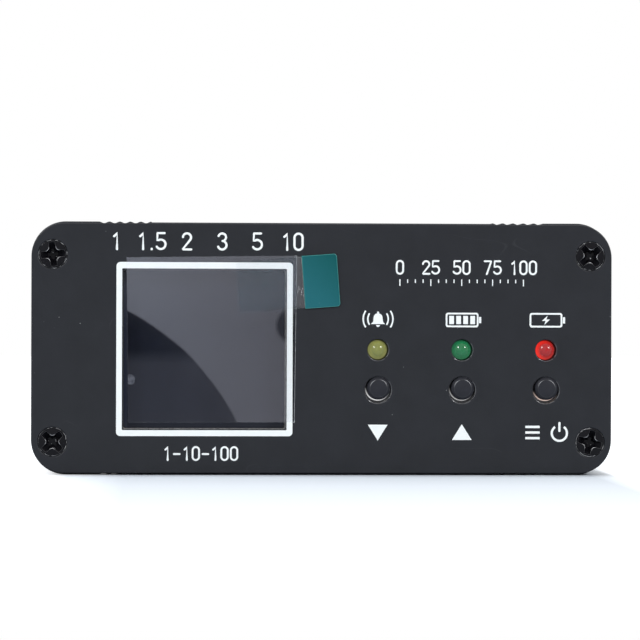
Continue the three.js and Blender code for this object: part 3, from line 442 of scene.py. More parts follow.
# What both coats share: hairlines where they were rubbed, and dust that gathers in patches.
coatWear = {
    "darkest": 0.9, "palest": 1.12,
    "markSize": 16.0, "markWidth": 0.0022, "markStretch": (1.0, 1.0, 1.6), "markRarity": 0.6,
    "markColour": srgb(92, 93, 98),
    "dustCell": 2.6, "dustSize": 0.035, "dustPatch": 11.0, "dustColour": srgb(188, 190, 192),
    "drawLine": 0.35, "drawStretch": (1.0, 0.01, 1.0),
}


def blackCoat(name, colour, values):
    # satin black on aluminium: fine grain, faint mottling, hairlines and dust
    v = {**coatWear, **values}
    f = Finish(name, {"Specular IOR Level": v["gloss"], "IOR": 1.5})
    mottle = f.noise(v["mottleSize"], 4.0, 0.6)
    marks = f.hairlines(v["markSize"], v["markWidth"], v["markStretch"], v["markRarity"])
    dust = f.specks(v["dustCell"], v["dustSize"]) * f.noise(v["dustPatch"]).between(0.5, 0.6)
    dark, pale = scaleColour(colour, v["darkest"]), scaleColour(colour, v["palest"])
    tone = f.mixed(mottle.between(0.3, 0.75), dark, pale)
    tone = f.mixed(marks * v["markShare"], tone, v["markColour"])
    tone = f.mixed(dust * v["dustShare"], tone, v["dustColour"])
    grain = f.noise(v["grainSize"]) + f.noise(v["grainSize"] * 4, 1.0) * 0.6
    return f.surface({
        "Base Color": tone,
        "Roughness": v["roughness"] + (mottle - 0.5) * 0.1 + marks * 0.08,
        "Normal": f.bump(grain, v["grainDepth"]),
    })


def extrudedCoat(name, colour, values):
    # the case: the same coat over the fine draw lines that an extrusion carries along its length
    v = {**coatWear, **values}
    f = blackCoat(name, colour, values)
    lines = f.noise(v["drawLine"], 2.0, 0.6, f.stretched(v["drawStretch"]))
    return f.surface({"Normal": f.bump(lines * 0.7 + f.noise(v["grainSize"]) * 0.5, v["grainDepth"])})


def bareMetal(name, colour, roughness, brushed=(1.0, 1.0, 1.0), metallic=1.0):
    # plain metal with tool marks and a few dull patches
    f = Finish(name, {"Metallic": metallic})
    lines = f.noise(0.12, 3.0, 0.6, f.stretched(brushed))
    patches = f.noise(2.4, 3.0, 0.6)
    return f.surface({
        "Base Color": f.mixed(patches.between(0.35, 0.7), scaleColour(colour, 0.82), colour),
        "Roughness": roughness + (patches - 0.5) * 0.12 + (lines - 0.5) * 0.08,
        "Normal": f.bump(lines, 0.01),
    })


def rubbedAndLitEdge(name, colour, coat, low, high):
    # an edge where a black finish is partly rubbed to the metal; on edges that face the light it also stands
    # for painted highlight
    f = Finish(name, {"Specular IOR Level": 0.4})
    worn = f.noise(0.9, 3.0, 0.6).between(low, high)
    return f.surface({
        "Base Color": f.mixed(worn, coat, colour),
        "Metallic": worn * 0.8,
        "Roughness": 0.3 - worn * 0.05,
        "Normal": f.relief(0.1, 0.004),
    })


# Wear on the panel screws, with their painted glints and painted edge highlights.
screwWearAndGlints = {
    "wornCell": 0.35, "wornFrom": 0.62, "wornTo": 0.75, "glintCell": 0.62, "glintSize": 0.2,
    "glintReach": (0.5, 0.75),         # from a screw's middle
    "oil": srgb(17, 17, 21), "worn": srgb(56, 56, 60), "paintedGlint": srgb(235, 235, 238),
    "recessReach": (0.85, 1.3), "rimReach": (1.9, 2.0), "rimShare": 0.9, "least": 0.06,
    "edgeDark": srgb(30, 30, 34), "edgeBright": srgb(250, 250, 252),
}


def fromMiddle(across, up):
    return (across * across + up * up) ** 0.5


# How far a place is from the middle of its panel screw.
def screwReach(f):
    x, z = screwPlaces[0]
    return fromMiddle(f.axis("X").size() - abs(x), (f.axis("Z") - midHigh).size() - (z - midHigh))


def blackOxide(name):
    # blackened steel screws: oily black with worn, brighter spots, and painted glints deep in the recess
    v = screwWearAndGlints
    f = Finish(name, {"Specular IOR Level": 0.14})
    wear = f.noise(v["wornCell"], 3.0, 0.65).between(v["wornFrom"], v["wornTo"])
    paintedGlint = f.specks(v["glintCell"], v["glintSize"]) * (1 - screwReach(f).between(*v["glintReach"]))
    return f.surface({
        "Base Color": f.mixed(paintedGlint * 0.8, f.mixed(wear * 0.3, v["oil"], v["worn"]), v["paintedGlint"]),
        "Roughness": 0.26 + wear * 0.14,
        "Metallic": wear * 0.3,
        "Normal": f.relief(0.08, 0.006, 3.0),
    })


def wornAndLitEdge(name):
    # a screw head's edges, partly worn and partly painted highlight: bright where a driver rubbed the inner
    # corners, and in broken lines round the rim
    v = screwWearAndGlints
    f = Finish(name, {"Specular IOR Level": 0.5, "Metallic": 0.2})
    reach = screwReach(f)
    patchy = f.noise(0.8, 2.0, 0.6)
    recess = (1 - reach.between(*v["recessReach"])) * patchy.between(0.3, 0.42)
    rim = reach.between(*v["rimReach"]) * patchy.between(0.48, 0.58) * v["rimShare"]
    return f.surface({
        "Base Color": f.mixed(recess + rim + v["least"], v["edgeDark"], v["edgeBright"]),
        "Roughness": 0.35 + patchy * 0.1,
        "Normal": f.relief(0.1, 0.004),
    })


# Painted light and shade on the rings round the buttons and round their caps. Heights and offsets are from
# the ring's own middle.
ringLight = {
    "rise": 0.25,                      # the rings' middle above the button row
    "margin": 3.0,                     # how far round a button's column its own values hold
    "lean": 0.28, "lowFrom": 0.4, "lowTo": 1.6,
    "lastLean": 0.14, "lastFrom": 0.3,             # what these change by at the last button
    "middleLess": 0.45, "lastMore": 0.3, "glow": 0.6,
    "sideSlope": 0.3, "sideReach": (1.4, 1.9), "sideShare": 0.5,
    "shadow": srgb(48, 49, 53), "warm": srgb(255, 228, 216),
    "capRise": (0.15, 0.9), "capAcross": (0.25, 0.7),
    "capDark": srgb(42, 43, 47), "capLit": srgb(156, 157, 160),
}


# A place's offset from the middle of the ring in its own button column, sideways and upwards.
def ringOffset(f):
    left, middle = panelForm["columns"][:2]
    pitch = middle - left
    start = f.axis("X") - (left - pitch / 2)
    across = start.maths("FLOORED_MODULO", start, pitch)
    return across - pitch / 2, f.axis("Z") - (panelForm["buttonZ"] + ringLight["rise"])


def paintedLightSeal(name):
    # the ring that a button slides in, in painted shade with painted light: bright at the lower left, less so
    # to the right, and warm at the last, partly as a painted glow
    v = ringLight
    f = Finish(name, {"Specular IOR Level": 0.5, "Metallic": 0.15, "Roughness": 0.4})
    across, up = ringOffset(f)
    left, middle, right = panelForm["columns"]
    pastFirst = f.axis("X").between(left + v["margin"], middle - v["margin"])
    last = f.axis("X").between(middle + v["margin"], right - v["margin"])
    leaning = across * (last * v["lastLean"] - v["lean"]) - up
    low = leaning.between(last * v["lastFrom"] + v["lowFrom"], v["lowTo"])
    low = low * (1 - pastFirst * v["middleLess"] + last * v["lastMore"])
    side = (across - up * v["sideSlope"]).between(*v["sideReach"]) * v["sideShare"]
    # the colour of the painted light, white or warm
    paintedLightColour = f.mixed(last, white, v["warm"])
    grit = 0.85 + f.noise(0.3).between(0.3, 0.6) * 0.15
    return f.surface({
        "Base Color": f.mixed((low + side) * grit, v["shadow"], paintedLightColour),
        "Emission Color": f.mixed(low * v["glow"], black, paintedLightColour),
        "Emission Strength": 1.0,
        "Normal": f.relief(0.1, 0.004),
    })


def paintedCapHighlight(name):
    # the ring where a button's cap turns, with a painted highlight at its upper left and upper right
    v = ringLight
    f = Finish(name, {"Specular IOR Level": 0.4})
    across, up = ringOffset(f)
    paintedHighlight = up.between(*v["capRise"]) * across.size().between(*v["capAcross"])
    grit = f.noise(0.4).between(0.3, 0.6)
    return f.surface({
        "Base Color": f.mixed(paintedHighlight * (0.7 + grit * 0.3), v["capDark"], v["capLit"]),
        "Roughness": 0.3 + grit * 0.08,
        "Normal": f.bump(grit, 0.004),
    })


def printInk(name):
    # white screen print: flat, very slightly uneven, with pin holes in the ink
    f = Finish(name, {"Specular IOR Level": 0.3})
    cloud = f.noise(1.6, 3.0, 0.6)
    tone = f.mixed(cloud.between(0.3, 0.7), srgb(248, 254, 254), srgb(252, 255, 255))
    return f.surface({
        "Base Color": f.mixed(f.specks(0.7, 0.05) * 0.35, tone, srgb(150, 152, 156)),
        "Roughness": 0.55 + cloud * 0.1,
        "Normal": f.relief(0.07, 0.004),
    })


# Plastic, glass and film finishes

def mouldedPlastic(name, colour, roughness, grain=0.25, depth=0.01, gloss=0.5):
    f = Finish(name, {"Specular IOR Level": gloss})
    cloud = f.noise(1.8, 3.0, 0.6)
    fine = f.noise(grain, 3.0, 0.6)
    return f.surface({
        "Base Color": f.mixed(cloud.between(0.3, 0.7), scaleColour(colour, 0.9), scaleColour(colour, 1.1)),
        "Roughness": roughness + (fine - 0.5) * 0.12,
        "Normal": f.bump(fine, depth),
    })


# Each lamp's resin, its painted paler patch and its painted lit rim, and how much painted glow the rim gives
# on the right and on the left.
lampColours = {
    "amber": (srgb(130, 134, 62), srgb(152, 156, 98), srgb(152, 154, 88), 0.6, 0.8),
    "green": (srgb(2, 114, 62), srgb(56, 136, 104), srgb(30, 132, 84), 0.65, 0.6),
    "red": (srgb(176, 2, 6), srgb(160, 46, 48), srgb(250, 44, 32), 0.2, 1.3),
}
# Painted light in the resin, by depth behind the dome's tip and by offset from the lamp's middle.
lampLight = {
    "patchLeft": 0.1, "patchDeep": 0.2, "patchLow": 0.6, "patchReach": (0.1, 1.3), "patchShare": 0.14,
    "rimDepth": (0.3, 1.1), "panelDepth": (1.6, 2.4), "across": (-1.2, 1.2),
    "veilDepth": (0.32, 0.44), "veilShare": 0.025, "veilTop": 0.35, "veilFall": (-1.2, 0.4),
}


def lampResin(name, node, colour, pale, rim, paintedGlowRight, paintedGlowLeft):
    # tinted resin with painted light: a painted paler patch low in the dome, a rim with a painted glow, more
    # on one side, and a faint painted veil of reflection round the dome
    v = lampLight
    f = Finish(name, {"Specular IOR Level": 0.12, "Coat Weight": 0.85, "Coat IOR": 1.55,
                      "Coat Roughness": 0.02, "Emission Strength": 1.0})
    low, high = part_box(node)
    front, middle, row = low.y / mm, (low.x + high.x) / 2 / mm, panelForm["lampZ"]
    paintedPatch = f.distance(middle - v["patchLeft"], front + v["patchDeep"], row - v["patchLow"])
    paintedPatch = (1 - paintedPatch.between(*v["patchReach"])) * v["patchShare"]
    depth = f.axis("Y") - front
    inAir = 1 - depth.between(*v["panelDepth"])
    leftwards = (middle - f.axis("X")).between(*v["across"])
    paintedGlow = (paintedGlowRight + leftwards * (paintedGlowLeft - paintedGlowRight)) * inAir
    edge = depth.between(*v["rimDepth"])
    downwards = (row - f.axis("Z")).between(*v["veilFall"])
    paintedVeil = depth.between(*v["veilDepth"]) * inAir * (v["veilTop"] + downwards * (1 - v["veilTop"]))
    cloud = f.noise(0.9)
    tone = f.mixed(paintedPatch, f.mixed(edge, colour, rim), pale)
    return f.surface({
        "Base Color": f.mixed(cloud * 0.12, tone, scaleColour(colour, 0.85)),
        "Emission Color": f.mixed(paintedVeil * v["veilShare"], f.mixed(edge * paintedGlow, black, rim), white),
        "Roughness": 0.1 + cloud * 0.05,
        "Normal": f.relief(0.5, 0.003),
    })


glassLook = {
    "dark": srgb(31, 34, 44), "smeared": srgb(36, 39, 50), "dust": srgb(150, 152, 158),
    # a lighter left border, painted light
    "borderX": (-29.6, -29.4), "border": srgb(47, 51, 64),
}


def displayGlass(name):
    # black polariser under glass, faintly blue, painted greyer at its left border as painted light against
    # the wall's shade there, with finger marks and dust
    v = glassLook
    f = Finish(name, {"Specular IOR Level": 0.2, "IOR": 1.5})
    smear = f.noise(5.0, 4.0, 0.65)
    dust = f.specks(1.9, 0.04) * f.noise(7.0).between(0.5, 0.62)
    tone = f.mixed(smear.between(0.35, 0.75), v["dark"], v["smeared"])
    tone = f.mixed(f.axis("X").between(*v["borderX"]), v["border"], tone)
    return f.surface({
        "Base Color": f.mixed(dust * 0.3, tone, v["dust"]),
        "Roughness": 0.05 + smear.between(0.55, 0.8) * 0.05 + dust * 0.2,
        "Normal": f.relief(9.0, 0.002, 1.0),
    })


def clearSheet(name):
    # thin clear film: little shows but what it mirrors, over soft creases, trapped bubbles and one smudge
    v = filmForm
    f = Finish(name, {"Base Color": v["mirrorColour"], "Metallic": 1.0})
    bubbles = f.specks(1.7, 0.05) * f.noise(6.0).between(0.5, 0.6)
    smudge = 1 - f.distance(v["smudgeX"], panelFace, v["smudgeZ"]).between(0.1, v["smudgeSize"])
    smudge = smudge * f.noise(0.35, 3.0).between(0.3, 0.65)
    return f.surface({
        "Alpha": v["mirror"] + bubbles * 0.3 + smudge * v["smudgeMirror"],
        "Roughness": smudge.between(0.0, 0.6) * 0.5,
        "Normal": f.relief(v["creaseSize"], 0.004, 1.0),
    })


def sheetEdge(name):
    # the cut edge of a clear sheet, with a painted highlight: most on the right, and a painted glint at the
    # lower right corner
    v = filmForm
    f = Finish(name, {"Base Color": v["cutColour"], "Roughness": 0.4})
    cornerX, cornerZ = v["corners"][1]
    right = f.axis("X").between(cornerX - 0.3, cornerX - 0.1)
    paintedGlint = 1 - f.distance(cornerX, panelFace, cornerZ).between(0.2, 0.5)
    broken = f.noise(1.2).between(0.3, 0.7) * (0.03 + right * 0.33)
    return f.surface({"Alpha": 0.02 + right * 0.15 + paintedGlint * 0.6 + broken})


def stripSheet(name):
    # the tab's clear strip: a faint blue green over the film, and a mirror like it beyond the film's edge
    v = filmForm
    f = Finish(name, {"Roughness": 0.0, "Specular IOR Level": 0.0})
    edge = v["corners"][2][0]
    free = f.axis("X").between(edge - 0.1, edge)
    cluster = 1 - f.distance(v["specksX"], panelFace, v["specksZ"]).between(*v["specksReach"])
    bubbles = f.specks(0.32, 0.34) * (f.noise(2.5).between(0.5, 0.56) * 0.1 + cluster)
    return f.surface({
        "Base Color": f.mixed(free, v["stripColour"], v["freeColour"]),
        "Metallic": free,
        "Alpha": v["tintShare"] + free * (v["freeMirror"] - v["tintShare"]) + bubbles * 0.7,
        "Normal": f.relief(v["creaseSize"], 0.004, 1.0),
    })


def tabFilm(name):
    # the coloured pull tab: cloudy green blue, darker towards its upper right
    v = pullTab
    f = Finish(name, {"Specular IOR Level": 0.15})
    slant = f.axis("X") * 0.5 + f.axis("Z") * 0.5
    middle = (v["middleX"] + v["middleZ"]) / 2
    cloud = f.noise(2.2, 4.0, 0.6)
    shade = (slant + cloud).between(middle + v["shadeFrom"], middle + v["shadeTo"])
    return f.surface({
        "Base Color": f.mixed(f.specks(1.3, 0.05) * 0.4, f.mixed(shade, v["pale"], v["deep"]), v["speck"]),
        "Roughness": 0.3 + cloud * 0.16,
        "Normal": f.bump(cloud, 0.03),
    })


# Case halves: the section drawn about its own middle, as in the source

caseForm = {
    "cornerRadius": 5.2, "wall": 1.6, "endBreak": 0.12, "endGap": 0.05,
    "seamOffset": 2.28, "seamGap": 0.3, "tongue": 1.8, "notchDepth": 0.2, "notchHalf": 0.25,
    "grooves": 5, "grooveFromSide": 10.95, "groovePitch": 1.58, "grooveSteps": 12, "grooveDepth": 0.24,
    "zoneDrop": 0.1, "zoneSlope": 0.1,
    "screwFromSide": 3.25, "screwFromTop": 5.0, "channelBore": 1.4, "channelWall": 1.1,
    "ribLength": 1.8, "ribThickness": 1.0, "ribCorner": 0.2, "slotHeight": 1.8, "slotBottom": 11.15,
}
shellLow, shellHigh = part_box("upper_shell")
halfWide = shellHigh.x / mm
midHigh = (shellHigh.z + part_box("lower_shell")[0].z) / 2 / mm


def grooveRow(first, height):
    v = caseForm
    row = []
    for i in range(v["grooves"]):
        middle = first + i * v["groovePitch"]
        for step in range(v["grooveSteps"]):
            turn = 2 * math.pi * step / v["grooveSteps"]
            drop = v["grooveDepth"] * (1 - math.cos(turn)) / 2
            row.append((middle + (step / v["grooveSteps"] - 0.5) * v["groovePitch"], height - drop))
    return row


def sideNotch(x, inwards, height, rise):
    v = caseForm
    return [(x, height - rise * v["notchHalf"]), (x + inwards * v["notchDepth"], height),
            (x, height + rise * v["notchHalf"])]


def shellSection():
    v = caseForm
    half, corner, wall = midHigh, v["cornerRadius"], v["wall"]
    inner = halfWide - wall
    innerCorner = corner - wall
    grooveStart = halfWide - v["grooveFromSide"]
    fieldEnd = grooveStart - (v["grooves"] - 0.5) * v["groovePitch"]
    tongue = (wall - v["seamGap"]) / 2
    lip = v["seamOffset"] + v["tongue"] + v["seamGap"]
    roof = half - wall - innerCorner
    loop = [(-halfWide + v["notchDepth"], -v["seamOffset"]), (-halfWide, -v["seamOffset"] + v["notchHalf"])]
    loop += sideNotch(-halfWide, 1, v["seamOffset"], 1)
    loop += arc(-halfWide + corner, half - corner, corner, 180, 90, 24)
    loop += grooveRow(-grooveStart, half)
    loop += [(-fieldEnd, half), (-fieldEnd + v["zoneSlope"], half - v["zoneDrop"]),
             (fieldEnd - v["zoneSlope"], half - v["zoneDrop"]), (fieldEnd, half)]
    loop += grooveRow(grooveStart - (v["grooves"] - 1) * v["groovePitch"], half)
    loop += arc(halfWide - corner, half - corner, corner, 90, 0, 24)
    loop += [(halfWide, v["seamOffset"] + v["notchHalf"]), (halfWide - v["notchDepth"], v["seamOffset"]),
             (halfWide - tongue, v["seamOffset"]), (halfWide - tongue, lip), (inner, lip)]
    loop += arc(inner - innerCorner, roof, innerCorner, 0, 90, 8)
    loop += arc(-inner + innerCorner, roof, innerCorner, 90, 180, 8)
    loop += [(-inner, -v["seamOffset"] - v["tongue"]), (-inner - tongue, -v["seamOffset"] - v["tongue"]),
             (-inner - tongue, -v["seamOffset"])]
    return loop


def shellHalf():
    v = caseForm
    length = (shellHigh.y - shellLow.y) / mm
    gap = v["endGap"]
    bore, ring = v["channelBore"], v["channelBore"] + v["channelWall"]
    channel = lathe([(bore, gap), (ring, gap), (ring, length - gap), (bore, length - gap)], 40, True)
    parts = [plate(shellSection(), [], length, v["endBreak"])]
    for side in (-1, 1):
        parts.append(placed(channel, side * (halfWide - v["screwFromSide"]), 0, midHigh - v["screwFromTop"]))
        root, tip = side * (halfWide - v["wall"] / 2), side * (halfWide - v["wall"] - v["ribLength"])
        for low in (v["slotBottom"], v["slotBottom"] - v["slotHeight"] - v["ribThickness"]):
            middleZ, thick = low + v["ribThickness"] / 2, v["ribThickness"]
            rib = roundedBox((root + tip) / 2, middleZ, abs(root - tip), thick, v["ribCorner"], 3)
            parts.append(placed(plate(rib, [], length - 2 * gap, 0.05), 0, gap, 0))
    return united(parts)


def addCase(coat):
    half = shellHalf()
    for name, node, turn in [("upperCaseHalf", "upper_shell", 0), ("lowerCaseHalf", "lower_shell", 180)]:
        mesh = smoothed(placed(half, 0, shellLow.y / mm, midHigh, turn), 20)
        piece(name, mesh, [coat], [node], "case")


# Panels

panelForm = {
    "sideInset": 0.02, "topInset": 0.28, "corner": 5.0, "edge": 0.14,
    "screwHead": 2.17, "sinkClearance": 0.06, "sinkOverlap": 0.02, "sinkRim": 0.47, "coneEnd": 1.52,
    "shankHole": 1.4, "columns": [8.4, 21.18, 33.96],
    "lampZ": 19.0, "lampHole": 1.59, "buttonZ": 12.93, "buttonHole": 2.01,
    "window": (-17.87, 19.0, 24.4, 23.9, 0.2),
    "markReach": 0.3,                  # how far beyond a hole its faces are looked for
}
# the number that each finish has on a panel
panelPaint = {"coat": 0, "wall": 1, "rubbedAndLit": 2, "holeLip": 3, "windowLip": 4}
cornerSigns = [(-1, 1), (-1, -1), (1, 1), (1, -1)]
screwPlaces = [(side * (halfWide - caseForm["screwFromSide"]),
                midHigh + rise * (midHigh - caseForm["screwFromTop"])) for side, rise in cornerSigns]


def sinkSeat():
    v = panelForm
    outer, bore = v["screwHead"] + v["sinkClearance"] + v["sinkOverlap"], v["shankHole"]
    back = panelBack - panelFace - 0.01
    return lathe([(outer, v["sinkRim"]), (bore, v["coneEnd"]), (bore, back), (outer, back)], 48, True)


def coatedPanel(holes, bareHoles, lipHoles):
    v, paint = panelForm, panelPaint
    width, height = 2 * (halfWide - v["sideInset"]), 2 * (midHigh - v["topInset"])
    outline = roundedBox(0, midHigh, width, height, v["corner"], 20)
    sinks = [disc(x, z, v["screwHead"] + v["sinkClearance"], 56) for x, z in screwPlaces]
    mesh = plate(outline, sinks + holes + bareHoles + lipHoles, panelBack - panelFace, v["edge"])
    markHoles(mesh, bareHoles, paint["wall"], paint["windowLip"])
    markHoles(mesh, lipHoles, paint["wall"], paint["holeLip"])
    markHoles(mesh, holes, paint["coat"], paint["coat"])
    return united([mesh] + [placed(sinkSeat(), x, 0, z) for x, z in screwPlaces])


# The finishes in cut holes: one on the walls. Of the broken edges, what faces up or left, towards the light,
# is rubbed and painted lighter as painted highlight, and its inner half has the lip's finish. Round a
# button's hole that lip goes all the way.
def markHoles(mesh, loops, wall, lip):
    reach = panelForm["markReach"]
    boxes = [(min(xs), max(xs), min(zs), max(zs)) for xs, zs in [zip(*loop) for loop in loops]]
    for face in mesh.polygons:
        normal = face.normal
        isWall = abs(normal.y) < 0.2
        isInner = abs(normal.y) < 0.7
        isLitOrWorn = max(normal.z, -normal.x) > 0.3 or isInner and lip == panelPaint["holeLip"]
        isRubbedOrLit = abs(normal.y) < 0.95 and isLitOrWorn
        x, z = face.center.x / mm, face.center.z / mm
        inHole = any(left - reach < x < right + reach and low - reach < z < high + reach
                     for left, right, low, high in boxes)
        if inHole and (isWall or isRubbedOrLit):
            face.material_index = wall if isWall else lip if isInner else panelPaint["rubbedAndLit"]


def addFrontPanel(finishes):
    v = panelForm
    lampHoles = [disc(x, v["lampZ"], v["lampHole"]) for x in v["columns"]]
    buttonHoles = [disc(x, v["buttonZ"], v["buttonHole"]) for x in v["columns"]]
    mesh = placed(coatedPanel(lampHoles, [roundedBox(*v["window"])], buttonHoles), 0, panelFace, 0)
    piece("frontPanel", smoothed(mesh), finishes, ["front_panel"], "panel")


# Screws with a cross recess

screwForm = {
    "head": 2.17, "rim": 0.2, "broken": 0.07, "crown": 0.08, "cone": 1.25, "shank": 1.2, "length": 8.0,
    "tip": 0.8, "tipRadius": 0.3, "sunk": 0.15,
    "arm": 1.78, "armBulge": 0.06, "armHalf": 0.5, "lobe": 0.55, "lip": 0.11,
    "recess": 1.15, "recessMiddle": 0.74, "recessEnd": 0.42,       # depth, and shares of the cross further in
    "frontTurns": [6, 45, 40, -15], "rearTurns": [20, -8, 33, 52],
}


# A driver's cross whose four inner corners are well rounded, so the head keeps four round lobes.
def crossOutline(arm, half, lobe):
    loop = []
    for quarter in range(4):
        side = [(arm, -half * 0.9), (arm + screwForm["armBulge"], 0), (arm, half * 0.9)]
        side += arc(half + lobe, half + lobe, lobe, 270, 180, 8)
        loop += turned(side, quarter * 90)
    return loop


def crossCutter():
    v = screwForm
    loop, lip = crossOutline(v["arm"], v["armHalf"], v["lobe"]), v["lip"]
    wide = crossOutline(v["arm"] + lip, v["armHalf"] + lip, v["lobe"] - lip)
    high, low = -(v["crown"] + 0.02), lip - v["crown"]
    deep, middle, floor = v["recess"], shrunk(loop, v["recessMiddle"]), shrunk(loop, v["recessEnd"])
    cutter = loft([(-0.6, wide), (high, wide), (low, loop), (deep * 0.5, middle), (deep, floor)])
    for face in cutter.polygons:
        if high < face.center.y / mm < low and abs(face.normal.y) < 0.99:
            face.material_index = 1
    return cutter


def panelScrew():
    v = screwForm
    flat = v["head"] - v["broken"]
    crown = [(flat * share, -v["crown"] * (1 - share ** 2)) for share in (0.0, 0.35, 0.65, 1.0)]
    profile = crown + [(v["head"], v["broken"]), (v["head"], v["rim"]), (v["shank"], v["cone"]),
                       (v["shank"], v["length"] - v["tip"]), (v["tipRadius"], v["length"]), (0, v["length"])]
    body = lathe(profile, 56)
    for face in body.polygons:
        if 0 < face.center.y / mm < v["broken"]:
            face.material_index = 1
    return carved(body, [crossCutter()], 28)


def addPanelScrews(steel, edge):
    v = screwForm
    screw = panelScrew()
    sides = [("front", panelFace + v["sunk"], v["frontTurns"], 0),
             ("rear", rearFace - v["sunk"], v["rearTurns"], 180)]
    for side, y, turns, about in sides:
        for i, ((x, z), turn) in enumerate(zip(screwPlaces, turns), 1):
            mesh = screw.copy()
            mesh.transform(moveBy(x, y, z) @ turnBy(about, "Z") @ turnBy(-turn))
            piece(f"{side}Screw{i}", mesh, [steel, edge], [f"{side}_screw_{i}"], "black_screws")


blackShell = extrudedCoat("blackShell", srgb(44, 46, 52), {
    "gloss": 0.3, "roughness": 0.42, "mottleSize": 6.0, "grainSize": 0.16, "grainDepth": 0.02,
    "markShare": 0.15, "dustShare": 0.4})
blackPanel = blackCoat("blackPanel", srgb(33, 35, 40), {
    "gloss": 0.25, "roughness": 0.4, "mottleSize": 5.0, "grainSize": 0.14, "grainDepth": 0.012,
    "markShare": 0.1, "dustShare": 0.45})
cutAluminium = bareMetal("cutAluminium", srgb(176, 176, 174), 0.38, (1.0, 0.15, 1.0))
# finishes of the holes' edges: wear, and painted highlight where they face the light
panelEdge = rubbedAndLitEdge("panelEdge", srgb(104, 104, 106), srgb(62, 63, 67), 0.35, 0.7)
panelFinishes = [blackPanel, cutAluminium, panelEdge]
holeLip = rubbedAndLitEdge("holeLip", srgb(120, 120, 124), srgb(70, 71, 76), 0.3, 0.65)
# the window's lip: a bright painted highlight line along its edges that face up or left
windowLip = rubbedAndLitEdge("windowLip", srgb(226, 224, 216), srgb(150, 149, 145), 0.3, 0.6)
screwBlack = blackOxide("screwBlack")
screwEdge = wornAndLitEdge("screwEdge")

addCase(blackShell)
addFrontPanel(panelFinishes + [holeLip, windowLip])
addPanelScrews(screwBlack, screwEdge)
print("case, front panel and screws made")


# White print on the front panel: the window's frame, plain numbers and simple signs

printForm = {
    "proud": 0.02,
    "frameOuter": (-17.85, 19.015, 26.64, 26.27, 0.6), "frameInner": (-17.865, 18.985, 24.89, 24.41, 0.14),
    "upperNumbers": ["1", "1.5", "2", "3", "5", "10"], "upperX": (-31.2, -4.6), "upperZ": 35.3,
    "upperHigh": 2.45, "upperLine": 0.34,
    "lowerNumbers": "1-10-100", "lowerX": -18.4, "lowerZ": 3.25, "lowerHigh": 1.95, "lowerLine": 0.29,
    "scaleNumbers": ["0", "25", "50", "75", "100"], "scaleX": (11.7, 30.5), "scaleZ": 31.5,
    "scaleHigh": 1.95, "scaleLine": 0.29, "advance": 0.74, "pointAdvance": 0.4,
    "tickTop": 29.7, "tickLong": 1.0, "tickShort": 0.55, "tickWide": 0.16, "ticksPerNumber": 4,
    "signZ": 23.55, "buttonSignZ": 6.5,
}


def ink(loop, holes=()):
    return placed(plate(loop, list(holes), printForm["proud"], 0), 0, -printForm["proud"], 0)


def inkBox(x, z, width, height, radius=0.05):
    return ink(roundedBox(x, z, width, height, radius, 3))


def inkRing(x, z, width, height, radius, line):
    return ink(roundedBox(x, z, width, height, radius, 5),
               [roundedBox(x, z, width - 2 * line, height - 2 * line, radius * 0.5, 5)])


def inkBand(x, z, radius, line, start, end, steps=16):
    outer = arc(x, z, radius + line / 2, start, end, steps)
    inner = arc(x, z, radius - line / 2, end, start, steps)
    return ink(outer + inner)


# Signs, each about its own middle
signForm = {
    "bellDome": 0.68, "bellRise": 0.3,
    "bellFoot": [(-0.76, -0.32), (-1.08, -0.66), (1.08, -0.66), (0.76, -0.32)],
    "clapper": 0.3, "clapperZ": -0.8, "knob": 0.16, "knobZ": 1.1,
    "waves": (1.55, 2.25), "waveLine": 0.24, "waveZ": 0.1, "waveHalf": 34,
    "cellLong": 5.0, "cellHigh": 2.2, "cellLine": 0.26, "cellCorner": 0.35, "cellBars": 4,
    "poleX": 0.24, "poleWide": 0.34, "poleHigh": 0.95, "barRoom": 0.2, "barShare": 0.68, "barGap": 0.42,
    "bolt": [(0.28, 0.74), (-0.62, -0.1), (-0.06, -0.1), (-0.28, -0.74), (0.62, 0.12), (0.06, 0.12)],
    "arrow": [(-1.5, -1.15), (1.5, -1.15), (0, 1.25)],
    "menuX": -2.0, "menuWide": 2.2, "menuLine": 0.36, "menuRises": (-0.85, 0.0, 0.85),
    "powerX": 2.1, "powerZ": -0.1, "powerRadius": 1.16, "powerLine": 0.34, "powerArc": (125, 415),
    "barZ": 0.85, "barLong": 1.5, "barCorner": 0.12,
}


def bellSign(x, z):
    v = signForm
    bell = arc(0, v["bellRise"], v["bellDome"], 0, 180, 12) + v["bellFoot"]
    clapper = arc(0, v["clapperZ"], v["clapper"], 180, 360, 8)
    knob = disc(0, v["knobZ"], v["knob"], 12)
    parts = [ink(shifted(loop, x, z)) for loop in (bell, clapper, knob)]
    for radius in v["waves"]:
        for middle in (0, 180):
            start, end = middle - v["waveHalf"], middle + v["waveHalf"]
            parts.append(inkBand(x, z + v["waveZ"], radius, v["waveLine"], start, end))
    return parts


def cellSign(x, z, bars):
    v = signForm
    width, height, line = v["cellLong"], v["cellHigh"], v["cellLine"]
    parts = [inkRing(x, z, width, height, v["cellCorner"], line),
             inkBox(x + width / 2 + v["poleX"], z, v["poleWide"], v["poleHigh"])]
    pitch = (width - 2 * line - v["barRoom"]) / v["cellBars"]
    for i in range(bars):
        middle = x + (i - (v["cellBars"] - 1) / 2) * pitch
        parts.append(inkBox(middle, z, pitch * v["barShare"], height - 2 * line - v["barGap"]))
    return parts


def boltSign(x, z):
    return [ink(shifted(signForm["bolt"], x, z))] + cellSign(x, z, 0)


def arrowSign(x, z, up):
    loop = [(across, rise * up) for across, rise in signForm["arrow"]]
    return [ink(shifted(loop if up > 0 else loop[::-1], x, z))]


